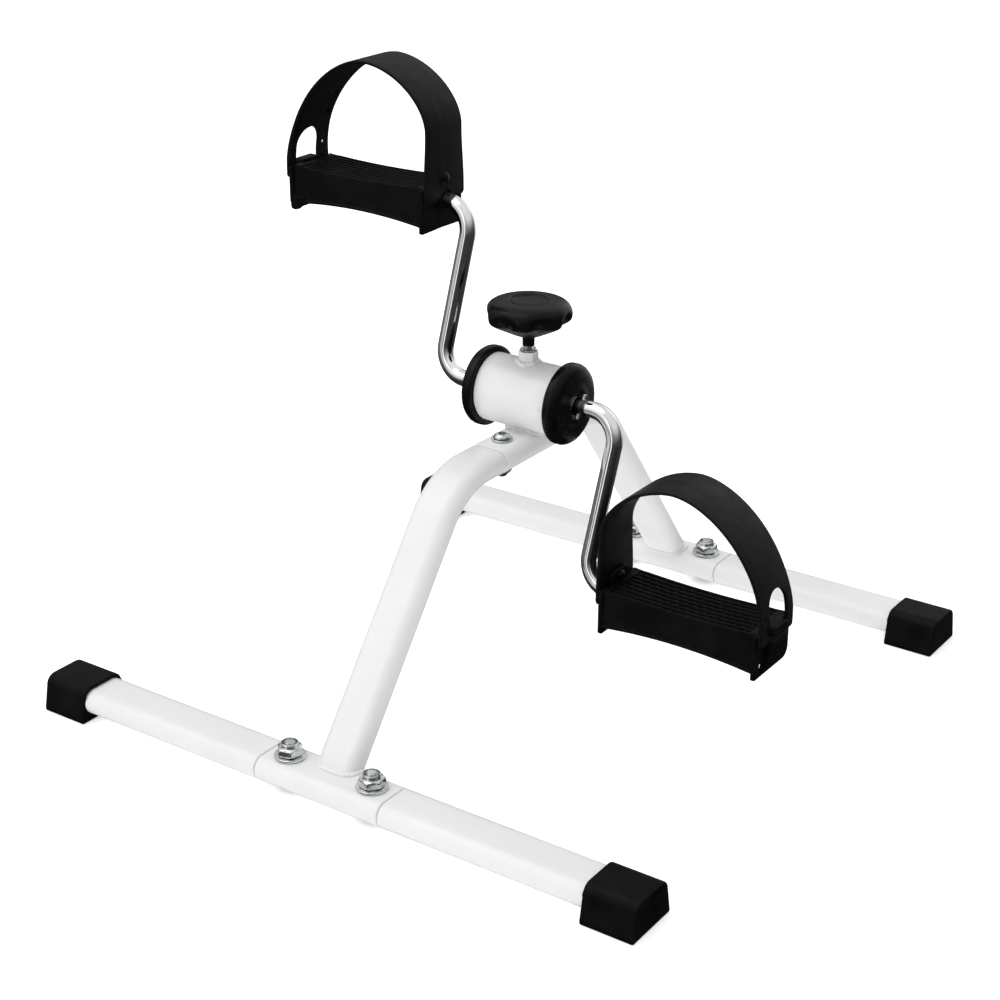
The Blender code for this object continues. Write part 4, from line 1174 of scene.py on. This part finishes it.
def strap_band():
    """The band with rounded long edges and rounded ends."""
    line = [Vector((x, 0, z)) for x, z in strap_line()]
    rings = []
    last = len(line) - 1
    for i, place in enumerate(line):
        way = (line[min(i + 1, last)] - line[max(i - 1, 0)]).normalized()
        out = Vector((-way.z, 0, way.x))
        pinch = 0.0007 if i in (0, last) else 0.0
        half = strap_half(place.z) - pinch
        thick = STRAP_THICKNESS / 2 - pinch * 0.6
        middle = place - out * STRAP_THICKNESS / 2
        section = rounded([(half, -thick), (half, thick), (-half, thick), (-half, -thick)], 0.0009, 4)
        rings.append([middle + Vector((0, across, 0)) + out * up for across, up in section])
    return skin(rings)


def dimple(height):
    """A cutter for a blind adjusting mark on the inner face of the strap's outer leg."""
    line = [point for point in strap_line() if point[0] > STRAP_CROWN[0]]
    x, z = min(line, key=lambda point: abs(point[1] - height))
    slope = atan2(z - STRAP_OUTER_RISE, 0.085)
    return drill(0.0017, 0.0022, (x - STRAP_THICKNESS, DIMPLE_Y, z), 24, slope)


def strap_cuts():
    """The D-shaped hole over the hook, the holes of the inner end, the spare hole and the dimples."""
    outline = arc((D_HOLE_Y, D_HOLE_SPRING), D_HOLE_HALF, 0, 180, 28)
    outline += [(D_HOLE_Y - D_HOLE_HALF, D_HOLE_FLOOR), (D_HOLE_Y + D_HOLE_HALF, D_HOLE_FLOOR)]
    y, z, radius = SPARE_HOLE
    return [board(rounded(outline, 0.0008, 3), PEDAL_OUTER - 0.022, 0.03),
            drill(0.007, 0.012, (PEDAL_INNER - 0.002, 0, -0.0005)),
            drill(0.0018, 0.012, (PEDAL_INNER - 0.002, 0, STUD_Z), 24),
            drill(radius, 0.02, (PEDAL_OUTER, y, z), 24),
            *[dimple(height) for height in DIMPLES]]


def strap(side):
    piece(f"strap_{side}_band", [carved(strap_band(), strap_cuts())], "strap_black", f"strap_{side}",
          PEDAL_PLACE[side], crease=50)
    start, end = (corner.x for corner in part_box("strap_stud_right"))
    profile = [(0.0008, start), (0.0022, start + 0.0003), (0.0034, start + 0.0009), (0.0038, start + 0.0016)]
    profile += [(0.0037, start + 0.0019), (0.0016, start + 0.002), (0.0016, end - 0.0018)]
    profile += [(0.0029, end - 0.0017), (0.0026, end - 0.0009), (0.0018, end - 0.0002), (0.0006, end)]
    piece(f"strap_stud_{side}_snap", [spun(profile, 40)], "moulded_black", f"strap_stud_{side}",
          PEDAL_PLACE[side] @ AT((0, 0, STUD_Z)) @ TO_X)


def spindle_ring(kind, side, radius, slot):
    low, high = (corner.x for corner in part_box(f"{kind}_right"))
    ring = collar(ROD_RADIUS + FIT, radius, low, high, 0.0003, 56)
    piece(f"{kind}_{side}_ring", [ring], slot, f"{kind}_{side}", PEDAL_PLACE[side] @ TO_X)


# ---- floor, light and camera


def staged(name, points, faces, glow):
    """A plain pale part of the studio, white enough to hide its own edges."""
    mesh = bpy.data.meshes.new(name)
    mesh.from_pydata(points, [], faces)
    made = new_material(name, 0.9, specular=0.1)
    colour_from(made, place_noise(made, 3, 2), ((0.93, 0.93, 0.93), (0.95, 0.95, 0.95)))
    shader = made.node_tree.nodes["Principled BSDF"]
    shader.inputs["Emission Color"].default_value = (1, 1, 1, 1)
    shader.inputs["Emission Strength"].default_value = glow
    mesh.materials.append(made)
    item = linked(name, mesh)
    item.visible_glossy = False
    return item


def floor():
    half, z = 9.0, -0.0002
    staged("floor", [(-half, -half, z), (half, -half, z), (half, half, z), (-half, half, z)],
           [(0, 1, 2, 3)], 0.45)


def backdrop():
    """A round wall that closes the view in low shots and lights nothing."""
    count = 48
    points = [(x, y, height) for height in (-0.5, 12.0) for x, y in circle(8.5, count)]
    faces = [(i, (i + 1) % count, count + (i + 1) % count, count + i) for i in range(count)]
    wall = staged("backdrop", points, faces, 1.0)
    wall.visible_diffuse = False
    wall.visible_transmission = False
    wall.visible_shadow = False


def sun(name, direction, strength, spread):
    data = bpy.data.lights.new(name, "SUN")
    data.energy = strength
    data.angle = radians(spread)
    item = linked(name, data)
    item.rotation_mode = "QUATERNION"
    item.rotation_quaternion = (-Vector(direction)).to_track_quat("-Z", "Y")


def studio():
    """Soft light from above, with two upright bright panels and a dark rest for the metal."""
    world = bpy.data.worlds.new("studio")
    bpy.context.scene.world = world
    world.use_nodes = True
    nodes, links = world.node_tree.nodes, world.node_tree.links
    where = nodes.new("ShaderNodeTexCoord")
    parts = nodes.new("ShaderNodeSeparateXYZ")
    links.new(where.outputs["Generated"], parts.inputs["Vector"])

    def levels(source, stops):
        """Brightness against the source, through (position, level) stops."""
        made = nodes.new("ShaderNodeValToRGB")
        spots = made.color_ramp.elements
        for i, (position, level) in enumerate(stops):
            spot = spots[i] if i < 2 else spots.new(position)
            spot.position = position
            spot.color = (level, level, level, 1)
        links.new(source, made.inputs["Fac"])
        return made.outputs["Color"]

    def combined(operation, first, second):
        made = nodes.new("ShaderNodeMath")
        made.operation = operation
        links.new(first, made.inputs[0])
        if isinstance(second, float):
            made.inputs[1].default_value = second
        else:
            links.new(second, made.inputs[1])
        return made.outputs["Value"]

    heading = combined("ARCTAN2", parts.outputs["Y"], parts.outputs["X"])
    turn = combined("ADD", combined("DIVIDE", heading, 2 * pi), 0.5)
    height = combined("ADD", combined("MULTIPLY", parts.outputs["Z"], 0.5), 0.5)
    sky = levels(height, ((0.0, 0.02), (0.5, 0.05), (0.62, 0.22), (0.8, 0.8), (1.0, 0.9)))
    panels = levels(turn, ((0.0, 0.14), (0.18, 0.12), (0.205, 0.01), (0.225, 1.2), (0.248, 1.2), (0.26, 0.0),
                           (0.66, 0.0), (0.7, 1.0), (0.78, 1.0), (0.82, 0.02), (0.93, 0.02), (1.0, 0.14)))
    band = levels(height, ((0.3, 0.0), (0.42, 0.9), (0.72, 0.9), (0.8, 0.0)))
    light = combined("ADD", sky, combined("MULTIPLY", panels, band))
    links.new(light, nodes["Background"].inputs["Strength"])
    nodes["Background"].inputs["Color"].default_value = (1.0, 1.0, 1.005, 1)
    sun("overhead", (-0.35, -0.25, 1.0), 0.78, 50)
    sun("front_fill", (-0.7, -0.8, 0.5), 0.34, 60)


def camera():
    """A long lens from the front right, above, turned a little about its own axis."""
    azimuth, elevation, roll = (radians(angle) for angle in (34.628, 23.538, 0.2106))
    target, distance = Vector((-0.02715, 0.019, 0.1)), 1.21136
    back = Vector((sin(azimuth) * cos(elevation), -cos(azimuth) * cos(elevation),
                   sin(elevation)))
    data = bpy.data.cameras.new("camera")
    data.sensor_width = 36.0
    data.lens = 72.86
    data.clip_start, data.clip_end = 0.05, 60.0
    item = linked("camera", data)
    item.location = target + back * distance
    item.rotation_mode = "QUATERNION"
    item.rotation_quaternion = (-back).to_track_quat("-Z", "Y") @ Quaternion((0, 0, 1), roll)
    bpy.context.scene.camera = item


# ---- build

for end in ENDS:
    foot_bar(end)
foot_fasteners()
legs()
joint_fasteners()
housing()
tension_boss()
knob()
knob_cap()
tension_screw()
for side, sign in SIDES:
    end_cap(side, sign)
    crank_rod(side, sign)
    keep(f"drum_pin_{side}", "plain_steel")
    retaining_pin(f"retaining_pin_{side}")
    keep(f"bush_{side}", "nylon_natural")
for side, _ in SIDES:
    pedal_body(side)
    strap(side)
    spindle_ring("pedal_collar", side, 0.0062, "moulded_black")
    spindle_ring("pedal_retainer", side, 0.006, "plain_steel")
keep("friction_drum", "plain_steel")
keep("brake_shoe", "nylon_natural")
keep("brake_lining", "brake_felt")
floor()
backdrop()
studio()
camera()
bpy.context.scene.view_settings.view_transform = "Standard"
